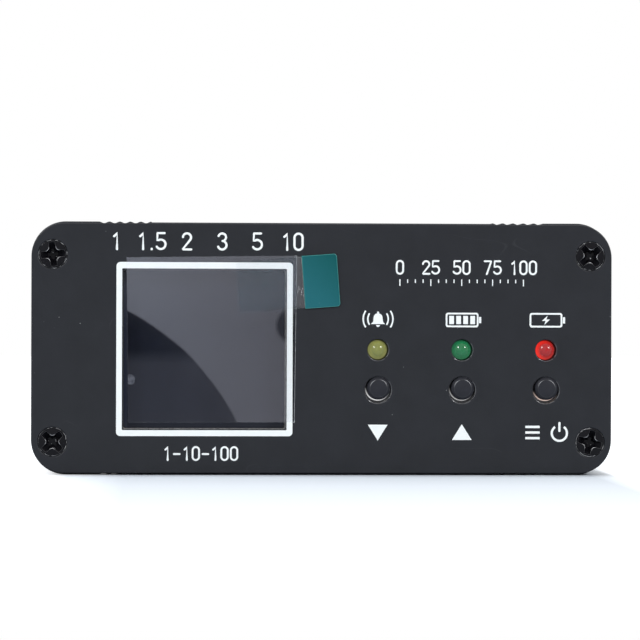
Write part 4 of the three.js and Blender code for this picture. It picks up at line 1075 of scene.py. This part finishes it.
def menuAndPowerSigns(x, z):
    v = signForm
    parts = [inkBox(x + v["menuX"], z + rise, v["menuWide"], v["menuLine"]) for rise in v["menuRises"]]
    powerX = x + v["powerX"]
    parts.append(inkBand(powerX, z + v["powerZ"], v["powerRadius"], v["powerLine"], *v["powerArc"], 30))
    parts.append(inkBox(powerX, z + v["barZ"], v["powerLine"], v["barLong"], v["barCorner"]))
    return parts


# Plain numbers in even strokes, each drawn in a cell one high: half as wide, from its own middle.
def strokesOf(sign):
    return {
        "0": [roundedBox(0, 0.5, 0.5, 1.0, 0.25, 8) + [(0.25, 0.75)]],
        "1": [[(-0.14, 0.8), (0.0, 0.92), (0.04, 1.0), (0.04, 0.0)]],
        "2": [arc(0, 0.74, 0.25, 175, -35, 14) + [(-0.25, 0.03), (-0.22, 0.0), (0.26, 0.0)]],
        "3": [arc(0, 0.76, 0.235, 160, -80, 14), arc(0, 0.27, 0.265, 85, -160, 16)],
        "5": [[(0.22, 1.0), (-0.19, 1.0), (-0.21, 0.98), (-0.23, 0.56)]
              + arc(-0.01, 0.31, 0.29, 118, -150, 18)],
        "7": [[(-0.25, 1.0), (0.23, 1.0), (0.25, 0.97), (-0.08, 0.0)]],
        ".": [[(0, 0.0), (0, 0.03)]],
        "-": [[(-0.22, 0.46), (0.22, 0.46)]],
    }[sign]


# One even line of ink with round ends.
def stroke(points, line, proud):
    curve = bpy.data.curves.new("stroke", "CURVE")
    curve.dimensions = "3D"
    curve.bevel_depth = line / 2 * mm
    curve.bevel_resolution = 2
    curve.use_fill_caps = True
    form = bmesh.new()
    form.from_mesh(curveMesh(curve, [[(x, 0, z) for x, z in points]], False))
    for x, z in (points[0], points[-1]):
        bmesh.ops.create_uvsphere(form, u_segments=12, v_segments=6, radius=line / 2 * mm,
                                  matrix=moveBy(x, 0, z))
    bmesh.ops.scale(form, vec=(1, 2 * proud / line, 1), verts=form.verts)
    return tidyMesh(form, 60)


def number(text, x, z, height, line):
    v = printForm
    widths = [(v["pointAdvance"] if sign == "." else v["advance"]) * height for sign in text]
    start = x - sum(widths) / 2
    parts = []
    for i, sign in enumerate(text):
        middle = start + sum(widths[:i]) + widths[i] / 2
        for points in strokesOf(sign):
            scaled = [(middle + px * height, z - height / 2 + pz * height) for px, pz in points]
            parts.append(stroke(scaled, line, v["proud"]))
    return parts


def numberRow(numbers, ends, z, height, line):
    parts = []
    for text, x in zip(numbers, spread(ends, len(numbers))):
        parts += number(text, x, z, height, line)
    return parts


def scaleTicks():
    v = printForm
    count = (len(v["scaleNumbers"]) - 1) * v["ticksPerNumber"] + 1
    parts = []
    for i, x in enumerate(spread(v["scaleX"], count)):
        length = v["tickShort"] if i % v["ticksPerNumber"] else v["tickLong"]
        parts.append(inkBox(x, v["tickTop"] - length / 2, v["tickWide"], length, 0.03))
    return parts


def addPrint(inkFinish):
    v = printForm
    left, middle, right = panelForm["columns"]
    parts = [ink(roundedBox(*v["frameOuter"]), [roundedBox(*v["frameInner"], 4)])]
    parts += numberRow(v["upperNumbers"], v["upperX"], v["upperZ"], v["upperHigh"], v["upperLine"])
    parts += numberRow(v["scaleNumbers"], v["scaleX"], v["scaleZ"], v["scaleHigh"], v["scaleLine"])
    parts += number(v["lowerNumbers"], v["lowerX"], v["lowerZ"], v["lowerHigh"], v["lowerLine"])
    parts += scaleTicks()
    parts += bellSign(left, v["signZ"]) + cellSign(middle, v["signZ"], signForm["cellBars"])
    parts += boltSign(right, v["signZ"])
    parts += arrowSign(left, v["buttonSignZ"], -1) + arrowSign(middle, v["buttonSignZ"], 1)
    parts += menuAndPowerSigns(right, v["buttonSignZ"])
    piece("panelPrint", smoothed(placed(united(parts), 0, panelFace, 0)), [inkFinish], (), "panel")


# Protective film with its strip and pull tab

pullTab = {
    "middleX": -0.28, "middleZ": 29.36, "length": 5.32, "height": 7.98, "thickness": 0.14,
    "turn": 4.3, "corner": 0.48, "edge": 0.068,
    "shadeFrom": -1.2, "shadeTo": 3.4, "pale": srgb(30, 103, 112), "deep": srgb(8, 87, 89),
    "speck": srgb(110, 158, 160),
}
filmForm = {
    "corners": [(-29.35, 7.92), (-4.23, 7.97), (-3.93, 33.22), (-29.68, 32.88)],
    "thickness": 0.1, "gap": 0.06, "edge": 0.04, "creaseSize": 14.0,
    "mirror": 0.066, "mirrorColour": (0.84, 0.87, 1.0, 1), "cutColour": (0.86, 0.9, 0.94, 1),
    "smudgeX": -29.05, "smudgeZ": 14.4, "smudgeSize": 1.0, "smudgeMirror": 0.005,
    "stripLength": 9.9, "stripHeight": 7.75, "stripThickness": 0.08, "stripCorner": 0.15,
    "tintShare": 0.03, "stripColour": (0.0, 0.2, 0.28, 1),
    "freeMirror": 0.05, "freeColour": (0.9, 0.94, 1.0, 1),         # beyond the film's edge
    "specksX": -3.05, "specksZ": 27.9, "specksReach": (0.4, 1.0),
}


def tabOutline():
    v = pullTab
    right, top, r = v["length"] / 2, v["height"] / 2, v["corner"]
    return (arc(right - r, top - r, r, 0, 90, 8) + [(-right, top), (-right, -top)]
            + arc(right - r, -top + r, r, 270, 360, 8))


# Faces that aren't square to the sheet are its cut edge: finish 1.
def markEdges(mesh):
    for face in mesh.polygons:
        face.material_index = 0 if abs(face.normal.y) > 0.95 else 1
    return mesh


def addFilm(clear, strip, cut, teal, tealCut):
    v, t = filmForm, pullTab
    filmFace = panelFace - v["gap"] - v["thickness"]
    stripFace = filmFace - v["stripThickness"]
    tabFace = filmFace - t["thickness"]
    slant = math.radians(t["turn"])
    jointX = t["middleX"] - t["length"] / 2 * math.cos(slant)
    jointZ = t["middleZ"] - t["length"] / 2 * math.sin(slant)
    stripLoop = roundedBox(-v["stripLength"] / 2, 0, v["stripLength"], v["stripHeight"], v["stripCorner"], 4)
    stripLoop = shifted(turned(stripLoop, t["turn"]), jointX - v["gap"], jointZ)
    tabLoop = shifted(turned(tabOutline(), t["turn"]), t["middleX"], t["middleZ"])
    filmSheet = plate(v["corners"], [], v["thickness"], v["edge"])
    stripPlate = plate(stripLoop, [], v["stripThickness"], v["edge"] / 2)
    tabPlate = plate(tabLoop, [], t["thickness"], t["edge"])
    for name, node, mesh, y, finishes, slot in [
            ("screenFilm", "screen_film", filmSheet, filmFace, [clear, cut], "clear_film"),
            ("tabStrip", "tab_strip", stripPlate, stripFace, [strip, cut], "clear_film"),
            ("pullTab", "pull_tab", tabPlate, tabFace, [teal, tealCut], "teal_film")]:
        made = piece(name, markEdges(placed(mesh, 0, y, 0)), finishes, [node], slot)
        made.visible_shadow = name == "pullTab"


# Lamps and push buttons

lampForm = {
    "radius": 1.46, "length": 5.3, "flange": 1.9, "flangeThick": 1.0, "flangeBreak": 0.1,
    "leadPitch": 2.54, "leadWide": 0.5, "leadCorner": 0.08, "leadEnd": 8.8, "leadOverlap": 0.1,
}


def addLamps(finishes, leadFinish):
    v = lampForm
    turns = spread((0, math.pi / 2), 17)
    dome = [(v["radius"] * math.sin(a), v["radius"] * (1 - math.cos(a))) for a in turns]
    foot = v["length"] - v["flangeThick"]
    profile = dome + [(v["radius"], foot), (v["flange"] - v["flangeBreak"], foot),
                      (v["flange"], foot + v["flangeBreak"]), (v["flange"], v["length"]), (0, v["length"])]
    parts = [painted(lathe(profile, 56), 0)]
    for side in (-1, 1):
        loop = roundedBox(side * v["leadPitch"] / 2, 0, v["leadWide"], v["leadWide"], v["leadCorner"], 3)
        lead = plate(loop, [], v["leadEnd"] - v["length"] + v["leadOverlap"], 0.03)
        parts.append(painted(placed(lead, 0, v["length"] - v["leadOverlap"], 0), 1))
    lamp = united(parts)
    for (name, finish), x in zip(finishes.items(), panelForm["columns"]):
        mesh = placed(lamp, x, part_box(f"lamp_{name}")[0].y / mm, panelForm["lampZ"])
        piece(f"{name}Lamp", smoothed(mesh, 30), [finish, leadFinish], [f"lamp_{name}"], f"{name}_lens")


buttonForm = {
    "radius": 1.74, "flat": 1.28, "soft": 0.07, "drop": 0.34, "height": 6.0,
    "flange": 2.1, "flangeFront": 2.9, "flangeThick": 0.7, "nub": 0.8, "nubEnd": 4.48,
}
coverForm = {
    "size": 6.0, "corner": 0.5, "hole": 1.92, "thickness": 0.3, "tabReach": 1.6, "face": -3.5,
    "sealOuter": 1.93, "sealInner": 1.78, "sealProud": 0.08, "sealBack": 0.02,
}


def plungerMesh():
    v = buttonForm
    tip, radius, nub = -v["height"], v["radius"], v["nub"]
    flange = tip + v["flangeFront"]
    flangeBack, nubEnd = flange + v["flangeThick"], tip + v["nubEnd"]
    profile = [(0, tip), (v["flat"], tip), (v["flat"] + v["soft"], tip + v["soft"] * 0.4),
               (radius - v["soft"] * 0.4, tip + v["drop"]), (radius, tip + v["drop"] + v["soft"]),
               (radius, flange), (v["flange"], flange), (v["flange"], flangeBack), (nub, flangeBack),
               (nub, nubEnd), (0, nubEnd)]
    mesh = lathe(profile, 64, sharpAngle=35)
    for face in mesh.polygons:
        reach = math.hypot(face.center.x, face.center.z) / mm
        if v["flat"] < reach < v["flat"] + v["soft"] and face.center.y / mm < tip + v["drop"]:
            face.material_index = 1
    return mesh


def coverMesh():
    v = coverForm
    inner, outer, front, back = v["sealInner"], v["sealOuter"], -v["sealProud"], v["sealBack"]
    # the seal ring in the gap round a button, which carries painted shade and painted light
    seal = lathe([(inner, front), (outer, front), (outer, back), (inner, back)], 56, True)
    outline = roundedBox(0, 0, v["size"], v["size"], v["corner"])
    parts = [plate(outline, [disc(0, 0, v["hole"], 56)], v["thickness"], 0.05), painted(seal, 1)]
    for side in (-1, 1):
        edge = side * (v["size"] - v["thickness"]) / 2
        flap = roundedBox(0, edge, v["size"] - 2 * v["corner"], v["thickness"], 0.1, 3)
        parts.append(plate(flap, [], v["thickness"] + v["tabReach"], 0.05))
    return placed(united(parts), 0, v["face"], 0)


def addButtons(plastics, coverFinishes):
    plunger, cover = plungerMesh(), coverMesh()
    for side in ("left", "middle", "right"):
        button = f"button_{side}"
        low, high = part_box(button)
        place = (low.x + high.x) / 2 / mm, low.y / mm + buttonForm["height"], (low.z + high.z) / 2 / mm
        cap, sheet = smoothed(placed(plunger, *place), 35), smoothed(placed(cover, *place))
        piece(f"{side}Button", cap, plastics, [button], "button_plastic", button)
        piece(f"{side}SwitchCover", sheet, coverFinishes, [f"switch_cover_{side}"], "tinned_steel")


# Rear panel, sockets and charging port

socketForm = {
    "flange": 25.4, "flangeCorner": 1.5, "flangeThick": 2.0, "flangeBreak": 0.15, "holeSpacing": 18.2,
    "hole": 1.67, "barrel": 7.94, "threadDepth": 0.56, "threadPitch": 1.058, "rowsPerTurn": 8,
    "crestGain": 1.35, "crestOffset": 0.12, "relief": 1.3, "reach": 15.0, "chamfer": 0.7,
    "bore": 6.0, "boreFloor": 7.0, "boreBreak": 0.15, "insulatorBore": 5.0, "spigot": 5.9, "spigotEnd": -3.5,
    "panelGap": 0.3, "notchWide": 1.6, "notchDeep": 0.9,
    "insulator": 4.8, "insulatorHead": 5.8, "headFrom": 7.2, "headThick": 1.4, "insulatorEnd": -4.5,
    "contact": 2.6, "contactBore": 2.0, "contactTip": 10.4, "contactEnd": -8.3, "boreDeep": 12.0,
    "slotWide": 0.5, "slotDeep": 5.0, "contactGap": 0.25, "cup": 1.6, "cupDeep": 3.0,
    "screwRadius": 1.45, "screwLength": 8.0, "screwHead": 2.75, "headHigh": 2.0, "dome": 0.9,
    "cross": (1.3, 0.36, 0.3), "crossDeep": 0.9,
    "nutFlats": 5.5, "nutThick": 2.4, "nutSeat": -4.0, "firstTurn": 10, "turnStep": 37,
}
portForm = {
    "width": 8.94, "height": 3.26, "length": 7.35, "wall": 0.3, "corner": 1.35, "gap": 0.3,
    "blockLength": 2.2, "blockGap": 0.05, "tongueWide": 6.6, "tongueThick": 0.7, "tongueCorner": 0.12,
    "setback": 1.2, "pads": 8, "padWide": 0.28, "padPitch": 0.62, "padProud": 0.02, "padLong": 2.4,
    "padEnd": 3.0,
}
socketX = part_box("transmitter_socket_body")[1].x / mm - socketForm["flange"] / 2
portZ = (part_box("port_shell")[0].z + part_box("port_shell")[1].z) / 2 / mm


def flangeHoles(x, radius, steps=40):
    reach = socketForm["holeSpacing"] / 2
    return [disc(x + sideX * reach, midHigh + sideZ * reach, radius, steps) for sideX, sideZ in cornerSigns]


# The port's outline, that much larger all round.
def portLoop(grown):
    v = portForm
    return roundedBox(0, portZ, v["width"] + 2 * grown, v["height"] + 2 * grown, v["corner"] + grown)


def addRearPanel(finishes):
    holes = []
    for x in (-socketX, socketX):
        holes.append(disc(x, midHigh, socketForm["spigot"] + socketForm["panelGap"]))
        holes += flangeHoles(x, socketForm["hole"])
    mesh = coatedPanel(holes, [], [portLoop(portForm["gap"])])
    mesh.transform(moveBy(0, rearFace, 0) @ turnBy(180, "Z"))
    piece("rearPanel", smoothed(mesh), finishes + finishes[2:], ["rear_panel"], "panel")


# How far the thread's crest stands out at a depth, following its helix round the barrel.
def threadRadius(depth):
    v = socketForm
    root = v["barrel"] - v["threadDepth"]
    limit = v["barrel"] - max(0.0, depth - (v["reach"] - v["chamfer"]))
    fade = min(1.0, max(0.0, (depth - v["flangeThick"] - v["relief"]) / v["threadPitch"]))

    def reach(angle):
        phase = (depth / v["threadPitch"] - angle / (2 * math.pi)) % 1
        crest = min(1.0, max(0.0, (1 - abs(2 * phase - 1)) * v["crestGain"] - v["crestOffset"]))
        return min(root + v["threadDepth"] * crest * fade, limit)

    return reach


# Cutters for two slots of that outline across a round end, at right angles.
def crossedSlots(loop, start, length, firstTurn):
    return [placed(plate(loop, [], length, 0), 0, start, 0, firstTurn + turn) for turn in (0, 90)]


def socketMesh():
    v = socketForm
    rows = int((v["reach"] - v["flangeThick"]) / v["threadPitch"] * v["rowsPerTurn"])
    depths = spread((v["flangeThick"] / 2, v["reach"]), rows)
    profile = [(v["insulatorBore"], v["spigotEnd"]), (v["spigot"], v["spigotEnd"]), (v["spigot"], 0.5)]
    profile += [(threadRadius(depth), depth) for depth in depths]
    profile += [(v["bore"] + v["boreBreak"], v["reach"]), (v["bore"], v["reach"] - v["boreBreak"]),
                (v["bore"], v["boreFloor"]), (v["insulatorBore"], v["boreFloor"])]
    notch = roundedBox(0, 0, 2 * v["barrel"] + 2, v["notchWide"], 0.1, 3)
    notches = crossedSlots(notch, v["reach"] - v["notchDeep"], 2.0, 0)
    barrel = carved(lathe(profile, 96, True, 40), notches, 40)
    holes = [disc(0, 0, v["barrel"] - v["threadDepth"] - 0.02, 96)]
    holes += [shifted(loop, 0, -midHigh) for loop in flangeHoles(0, v["hole"])]
    outline = roundedBox(0, 0, v["flange"], v["flange"], v["flangeCorner"])
    return united([barrel, plate(outline, holes, v["flangeThick"], v["flangeBreak"])])


def insulatorMesh():
    v = socketForm
    inner, outer, wide = v["contact"] + v["contactGap"], v["insulator"], v["insulatorHead"]
    end, head, face = v["insulatorEnd"], v["headFrom"], v["headFrom"] + v["headThick"]
    return lathe([(inner, end), (outer, end), (outer, head), (wide, head), (wide, face - 0.15),
                  (wide - 0.15, face), (inner + 0.1, face), (inner, face - 0.1)], 64, True)


def contactMesh():
    v = socketForm
    outer, bore, cup = v["contact"], v["contactBore"], v["cup"]
    tip, end = v["contactTip"], v["contactEnd"]
    cupFloor, boreFloor = end + v["cupDeep"], tip - v["boreDeep"]
    profile = [(0, cupFloor), (cup, cupFloor), (cup, end), (outer, end), (outer, tip - 0.25),
               (outer - 0.2, tip), (bore + 0.1, tip), (bore, tip - 0.15), (bore, boreFloor), (0, boreFloor)]
    slot = roundedBox(0, 0, 2 * outer + 2, v["slotWide"], 0.05, 2)
    slots = crossedSlots(slot, tip - v["slotDeep"], v["slotDeep"] + 1, 45)
    return carved(lathe(profile, 56), slots)


def socketScrewMesh():
    v = socketForm
    head, high, shank, length = v["screwHead"], v["headHigh"], v["screwRadius"], v["screwLength"]
    dome = [(head - v["dome"] * (1 - math.cos(a)), high - v["dome"] * (1 - math.sin(a)))
            for a in spread((0, math.pi / 2), 9)]
    profile = [(0, -length), (shank, -length), (shank, 0), (head, 0)] + dome + [(0, high)]
    loop = crossOutline(*v["cross"])
    cutter = loft([(-0.6, shrunk(loop, 1.1)), (0.0, loop), (v["crossDeep"], shrunk(loop, 0.5))])
    cutter.transform(moveBy(0, high, 0) @ turnBy(180, "Z"))
    screw = carved(lathe(profile, 48), [cutter])
    corners = arc(0, 0, v["nutFlats"] / math.sqrt(3), 0, 360, 6)[:-1]
    nut = plate(corners, [disc(0, 0, shank + 0.02, 40)], v["nutThick"], 0.12)
    return united([screw, placed(nut, 0, v["nutSeat"] - v["nutThick"], 0)])


def addSockets(nickel, insulator, gold, steel):
    v = socketForm
    stacked = [("Socket", socketMesh(), nickel, "socket_body", "nickel"),
               ("Insulator", insulatorMesh(), insulator, "socket_insulator", "insulator"),
               ("Contact", contactMesh(), gold, "socket_contact", "gold")]
    screw = socketScrewMesh()
    turn, reach, seat = v["firstTurn"], v["holeSpacing"] / 2, rearFace + v["flangeThick"]
    for name, x in (("antenna", -socketX), ("transmitter", socketX)):
        for kind, mesh, finish, node, slot in stacked:
            made = smoothed(placed(mesh, x, rearFace, midHigh), 40)
            piece(name + kind, made, [finish], [f"{name}_{node}"], slot)
        for i, (sideX, sideZ) in enumerate(cornerSigns, 1):
            made = placed(screw, x + sideX * reach, seat, midHigh + sideZ * reach, turn)
            piece(f"{name}Screw{i}", smoothed(made, 28), [steel], [f"{name}_screw_{i}"], "nickel")
            turn += v["turnStep"]


def addPort(steel, plastic, gold):
    v = portForm
    start = rearFace - v["length"]
    shell = placed(plate(portLoop(0), [portLoop(-v["wall"])], v["length"], 0.08), 0, start, 0)
    piece("portShell", shell, [steel], ["port_shell"], "nickel")
    tongueLong = v["length"] - v["setback"]
    tongue = roundedBox(0, portZ, v["tongueWide"], v["tongueThick"], v["tongueCorner"], 4)
    parts = [plate(portLoop(-v["wall"] - v["blockGap"]), [], v["blockLength"], 0.05),
             plate(tongue, [], tongueLong, 0.08)]
    for rise in (-1, 1):
        for i in range(v["pads"]):
            x = (i - (v["pads"] - 1) / 2) * v["padPitch"]
            z = portZ + rise * v["tongueThick"] / 2
            outline = roundedBox(x, z, v["padWide"], 2 * v["padProud"], 0.01, 2)
            pad = placed(plate(outline, [], v["padLong"], 0), 0, tongueLong - v["padEnd"], 0)
            parts.append(painted(pad, 1))
    insert = smoothed(placed(united(parts), 0, start, 0))
    piece("portInsert", insert, [plastic, gold], ["port_insert"], "black_plastic")


# Finishes for what lies inside the case

def circuitBoard(name):
    # green resist over copper tracks, with fine weave and tinned pads
    f = Finish(name, {"Specular IOR Level": 0.5})
    weave = (f.axis("X") * 9.0).wave() * (f.axis("Z") * 9.0 + f.axis("Y") * 9.0).wave()
    lanes = (f.noise(5.0, 0.0, 0.5, f.stretched((1.0, 0.35, 0.35))) - 0.5).size()
    track = 1 - lanes.between(0.012, 0.02)
    pads = f.specks(2.4, 0.16) * f.noise(9.0).between(0.52, 0.56)
    return f.surface({
        "Base Color": f.mixed(pads, f.mixed(track, srgb(24, 70, 47), srgb(38, 98, 62)), srgb(186, 186, 182)),
        "Metallic": pads,
        "Roughness": 0.36 + weave * 0.03 - pads * 0.08,
        "Normal": f.bump(track * 0.5 + pads + weave * 0.1, 0.03),
    })


def foamTape(name):
    # open cells
    f = Finish(name, {"Specular IOR Level": 0.2})
    pores = f.cells(0.25)
    return f.surface({
        "Base Color": f.mixed(pores.between(0.1, 0.5), srgb(20, 20, 21), srgb(44, 44, 45)),
        "Roughness": 0.85 + pores * 0.1,
        "Normal": f.bump(pores, 0.06),
    })


def copperWire(name):
    # enamelled wire, redder where the enamel pools
    f = Finish(name, {"Metallic": 0.9, "Coat Roughness": 0.1})
    pool = f.noise(0.8)
    return f.surface({
        "Base Color": f.mixed(pool.between(0.3, 0.7), srgb(178, 92, 48), srgb(132, 58, 30)),
        "Roughness": 0.26 + pool * 0.14,
        "Coat Weight": pool * 0.6,
        "Normal": f.relief(0.1, 0.006),
    })


def ferriteCore(name):
    # dull sintered grit
    f = Finish(name, {"Specular IOR Level": 0.4})
    grit = f.noise(0.2, 4.0, 0.7)
    return f.surface({
        "Base Color": f.mixed(grit.between(0.35, 0.7), srgb(44, 44, 46), srgb(70, 69, 70)),
        "Roughness": 0.7 + grit * 0.2,
        "Normal": f.bump(grit, 0.05),
    })


def ribbonFilm(name):
    # amber polyimide with rows of copper lines under it, one to a millimetre
    f = Finish(name, {"Specular IOR Level": 0.5})
    lines = (f.axis("X") * 6.28).wave().between(-0.1, 0.1)
    return f.surface({
        "Base Color": f.mixed(lines, srgb(150, 92, 30), srgb(196, 128, 56)),
        "Roughness": 0.32 + f.noise(1.5) * 0.1,
        "Normal": f.bump(lines, 0.01),
    })


def cellWrap(name):
    # silver pouch foil with soft creases
    f = Finish(name, {"Specular IOR Level": 0.5})
    crease = f.noise(7.0, 4.0, 0.65)
    return f.surface({
        "Base Color": f.mixed(crease.between(0.35, 0.65), srgb(150, 152, 156), srgb(186, 188, 192)),
        "Metallic": 0.7 + crease * 0.1,
        "Roughness": 0.3 + crease * 0.15,
        "Normal": f.bump(crease, 0.25),
    })


lamps = {name: lampResin(f"{name}Resin", f"lamp_{name}", *look) for name, look in lampColours.items()}
tinned = bareMetal("tinnedSteel", srgb(200, 200, 198), 0.3)
# the switch covers' tin, darker than the leads' as painted shade, for it lies deep behind the panel
shadedTin = bareMetal("shadedTin", srgb(120, 120, 124), 0.4, metallic=0.2)
sealRing = paintedLightSeal("sealRing")
nickel = bareMetal("nickelPlate", srgb(196, 192, 182), 0.22)
goldPlate = bareMetal("goldPlate", srgb(214, 172, 92), 0.26)
buttonBlack = mouldedPlastic("buttonBlack", srgb(43, 44, 50), 0.34, 0.3, 0.006, 0.15)
buttonEdge = paintedCapHighlight("buttonEdge")
blackPlastic = mouldedPlastic("blackPlastic", srgb(28, 28, 30), 0.5)
insulatorWhite = mouldedPlastic("insulatorWhite", srgb(236, 234, 226), 0.42, 0.5, 0.008)
clearFilm = clearSheet("clearFilm")
clearStrip = stripSheet("clearStrip")
filmEdge = sheetEdge("filmEdge")
tealFilm = tabFilm("tealFilm")
tealEdge = mouldedPlastic("tealEdge", srgb(56, 146, 142), 0.4, 0.8)

addPrint(printInk("printInk"))
addFilm(clearFilm, clearStrip, filmEdge, tealFilm, tealEdge)
addLamps(lamps, tinned)
addButtons([buttonBlack, buttonEdge], [shadedTin, sealRing])
print("print, film, lamps and buttons made")

addRearPanel(panelFinishes)
addSockets(nickel, insulatorWhite, goldPlate, nickel)
addPort(tinned, blackPlastic, goldPlate)
print("rear panel, sockets and port made")

dress(["display_glass"], displayGlass("displayGlass"))
dress(["display_gasket", "display_tape", "battery_pad"], foamTape("foamTape"))
dress(["display_tray"], mouldedPlastic("whitePlastic", srgb(226, 226, 220), 0.5))
dress(["display_ribbon"], ribbonFilm("ribbonFilm"))
dress(["switch_base_left", "switch_base_middle", "switch_base_right", "board_header"], blackPlastic)
dress(["front_board", "main_board"], circuitBoard("boardGreen"))
dress(["line_core", "sense_core"], ferriteCore("ferriteCore"))
dress(["line_winding", "sense_winding", "through_line"], copperWire("enamelWire"))
dress(["battery_cell"], cellWrap("cellWrap"))
dress(["battery_lead"], mouldedPlastic("leadCover", srgb(142, 30, 30), 0.45))
print("inner parts dressed")


# Floor, backdrop light and lamps

studio = {
    "skyLevel": 0.36, "lampSize": 210.0, "lampWatts": 5.0, "aim": (0.0, -60.0, 19.0),
    "lamps": {"leftLamp": (-760.0, -720.0, 620.0), "rightLamp": (700.0, -740.0, 600.0),
              "topLamp": (0.0, 60.0, 1100.0)},
}
floorForm = {
    "endsY": (-318.0, 1600.0), "halfWidth": 1500.0, "colour": (0.63, 0.685, 0.75, 1),
    # the paper looks whiter by these shares of painted light, each from one distance to another away from the
    # object
    "shades": [(3.0, 33.0, 0.14), (33.0, 130.0, 0.2), (130.0, 300.0, 0.7)],
    # how fast that distance counts sideways, and how much faster close before the front
    "sideSpeed": 12.0, "frontSpeed": 200.0, "frontStart": (-30, 0), "frontEnd": (10, 70),
    # sideways, where painted light whitens the shadow still more
    "leftFade": (30.0, 43.0), "leftEnd": (38.5, 42.0), "rightFade": (40.5, 45.0), "fadeGlow": 0.42,
}


# A white sheet to the camera, whitened by painted light that only the camera sees; near the object it shows
# the light that really falls on it, but at the object's ends painted light whitens its shadow.
def addFloor():
    v = floorForm
    half, (low, high) = v["halfWidth"], v["endsY"]
    mesh = flatSheet("floor", [(-half, low, 0), (half, low, 0), (half, high, 0), (-half, high, 0)])
    f = Finish("floorPaper", {"Base Color": v["colour"], "Roughness": 0.9, "Specular IOR Level": 0.1,
                              "Emission Strength": 1.0})
    right, deep = f.axis("X"), f.axis("Y")
    left = right * -1
    beside = right.size().atLeast(halfWide) - halfWide
    ahead = panelFace - deep
    behind = deep.atLeast(rearFace) - rearFace
    nearFront = ahead.between(*v["frontStart"]) * (1 - ahead.between(*v["frontEnd"]))
    speed = v["sideSpeed"] + nearFront * (v["frontSpeed"] - v["sideSpeed"])
    away = beside * speed + ahead.atLeast(0.0) + behind * v["sideSpeed"]
    ends = left.between(*v["leftFade"]) + left.between(*v["leftEnd"]) + right.between(*v["rightFade"])
    glow = ends * v["fadeGlow"]
    for near, far, share in v["shades"]:
        glow = away.between(near, far) * share + glow
    seen = f.node("LightPath", output="Is Camera Ray") * glow.between(0, 1)
    f.surface({"Emission Color": f.mixed(seen, black, white)})
    mesh.materials.append(f.material)
    asObject("floor", mesh)


# White wherever it is seen, mirrored or looked through to, and a plain level where it only lights.
def addSky():
    world = bpy.data.worlds.new("studio")
    bpy.context.scene.world = world
    world.use_nodes = True
    w = Wiring(world.node_tree)
    camera, gloss, through = [w.node("LightPath", output=f"Is {ray} Ray")
                              for ray in ("Camera", "Glossy", "Transmission")]
    level = studio["skyLevel"]
    back = world.node_tree.nodes["Background"]
    w.feed(back.inputs["Color"], white)
    w.feed(back.inputs["Strength"], level + (camera + gloss + through).between(0, 1) * (1 - level))


def addLamp(name, place):
    v = studio
    data = bpy.data.lights.new(name, "AREA")
    data.shape = "SQUARE"
    data.size = v["lampSize"] * mm
    data.energy = v["lampWatts"]
    lamp = bpy.data.objects.new(name, data)
    lamp.location = Vector(place) * mm
    aim = Vector(v["aim"]) * mm - lamp.location
    lamp.rotation_euler = aim.to_track_quat("-Z", "Y").to_euler()
    bpy.context.scene.collection.objects.link(lamp)


cardForm = {
    "y": -1200.0, "half": 1100.0, "foot": -0.4, "strength": 1.15, "soft": 0.6,
    "discX": -85.0, "discZ": -76.0, "discRadius": 116.0, "discBreak": (2.0, 9.0), "discGlow": 0.155,
    "postLeft": 44.0, "postWide": 150.0, "postTop": 27.0, "postDeep": 200.0, "postCorner": 6.0,
    "knobX": 47.7, "knobZ": 21.0, "knobRadius": 9.5, "knobSoft": 2.0, "knobLeast": 0.2,
    "paperX": (-27.0, 36.0), "paperZ": (20.0, 60.0),
    "paperLevel": 0.813, "paperRise": 0.178, "paperFall": 0.263,   # more upwards, less to the right
    "paperLeft": (0.94, 0.96, 1.0, 1), "paperRight": (0.98, 0.96, 0.97, 1),
}


# A card behind the camera, seen only in reflections: pale, with the round dark shape and the post that the
# film mirrors.
def addReflectedCard():
    v = cardForm
    half, foot, soft = v["half"], v["foot"], v["soft"]
    corners = [(-1, foot), (1, foot), (1, 1), (-1, 1)]
    mesh = flatSheet("card", [(x * half, v["y"], z * half) for x, z in corners])
    f = Finish("cardPaper", {"Base Color": black, "Roughness": 1.0, "Specular IOR Level": 0.0,
                             "Emission Strength": v["strength"]})
    right, up = f.axis("X"), f.axis("Z")
    radius = v["discRadius"]
    beyondDisc = f.distance(v["discX"], v["y"], v["discZ"]).between(radius - soft, radius + soft)
    inDisc = (1 - up.between(*v["discBreak"])) * v["discGlow"]
    radius = v["knobRadius"]
    knob = f.distance(v["knobX"], v["y"], v["knobZ"]).between(radius - v["knobSoft"], radius)
    knob = v["knobLeast"] + knob * (1 - v["knobLeast"])
    side = (right - (v["postLeft"] + v["postWide"] / 2)).size() - (v["postWide"] / 2 - v["postCorner"])
    rise = (up - (v["postTop"] - v["postDeep"] / 2)).size() - (v["postDeep"] / 2 - v["postCorner"])
    post = fromMiddle(side.atLeast(0.0), rise.atLeast(0.0)).between(v["postCorner"] - soft, v["postCorner"])
    across = right.between(*v["paperX"])
    paper = (v["paperLevel"] + up.between(*v["paperZ"]) * v["paperRise"]) * (1 - across * v["paperFall"])
    light = (beyondDisc * paper + (1 - beyondDisc) * inDisc) * post * knob
    f.surface({"Emission Color": f.mixed(light, black, f.mixed(across, v["paperLeft"], v["paperRight"]))})
    mesh.materials.append(f.material)
    card = asObject("reflectedCard", mesh)
    for kind in ("camera", "diffuse", "transmission", "volume_scatter", "shadow"):
        setattr(card, "visible_" + kind, False)


addFloor()
addSky()
addReflectedCard()
for lampName, lampPlace in studio["lamps"].items():
    addLamp(lampName, lampPlace)
bpy.context.scene.view_settings.view_transform = "Standard"
print("studio set")
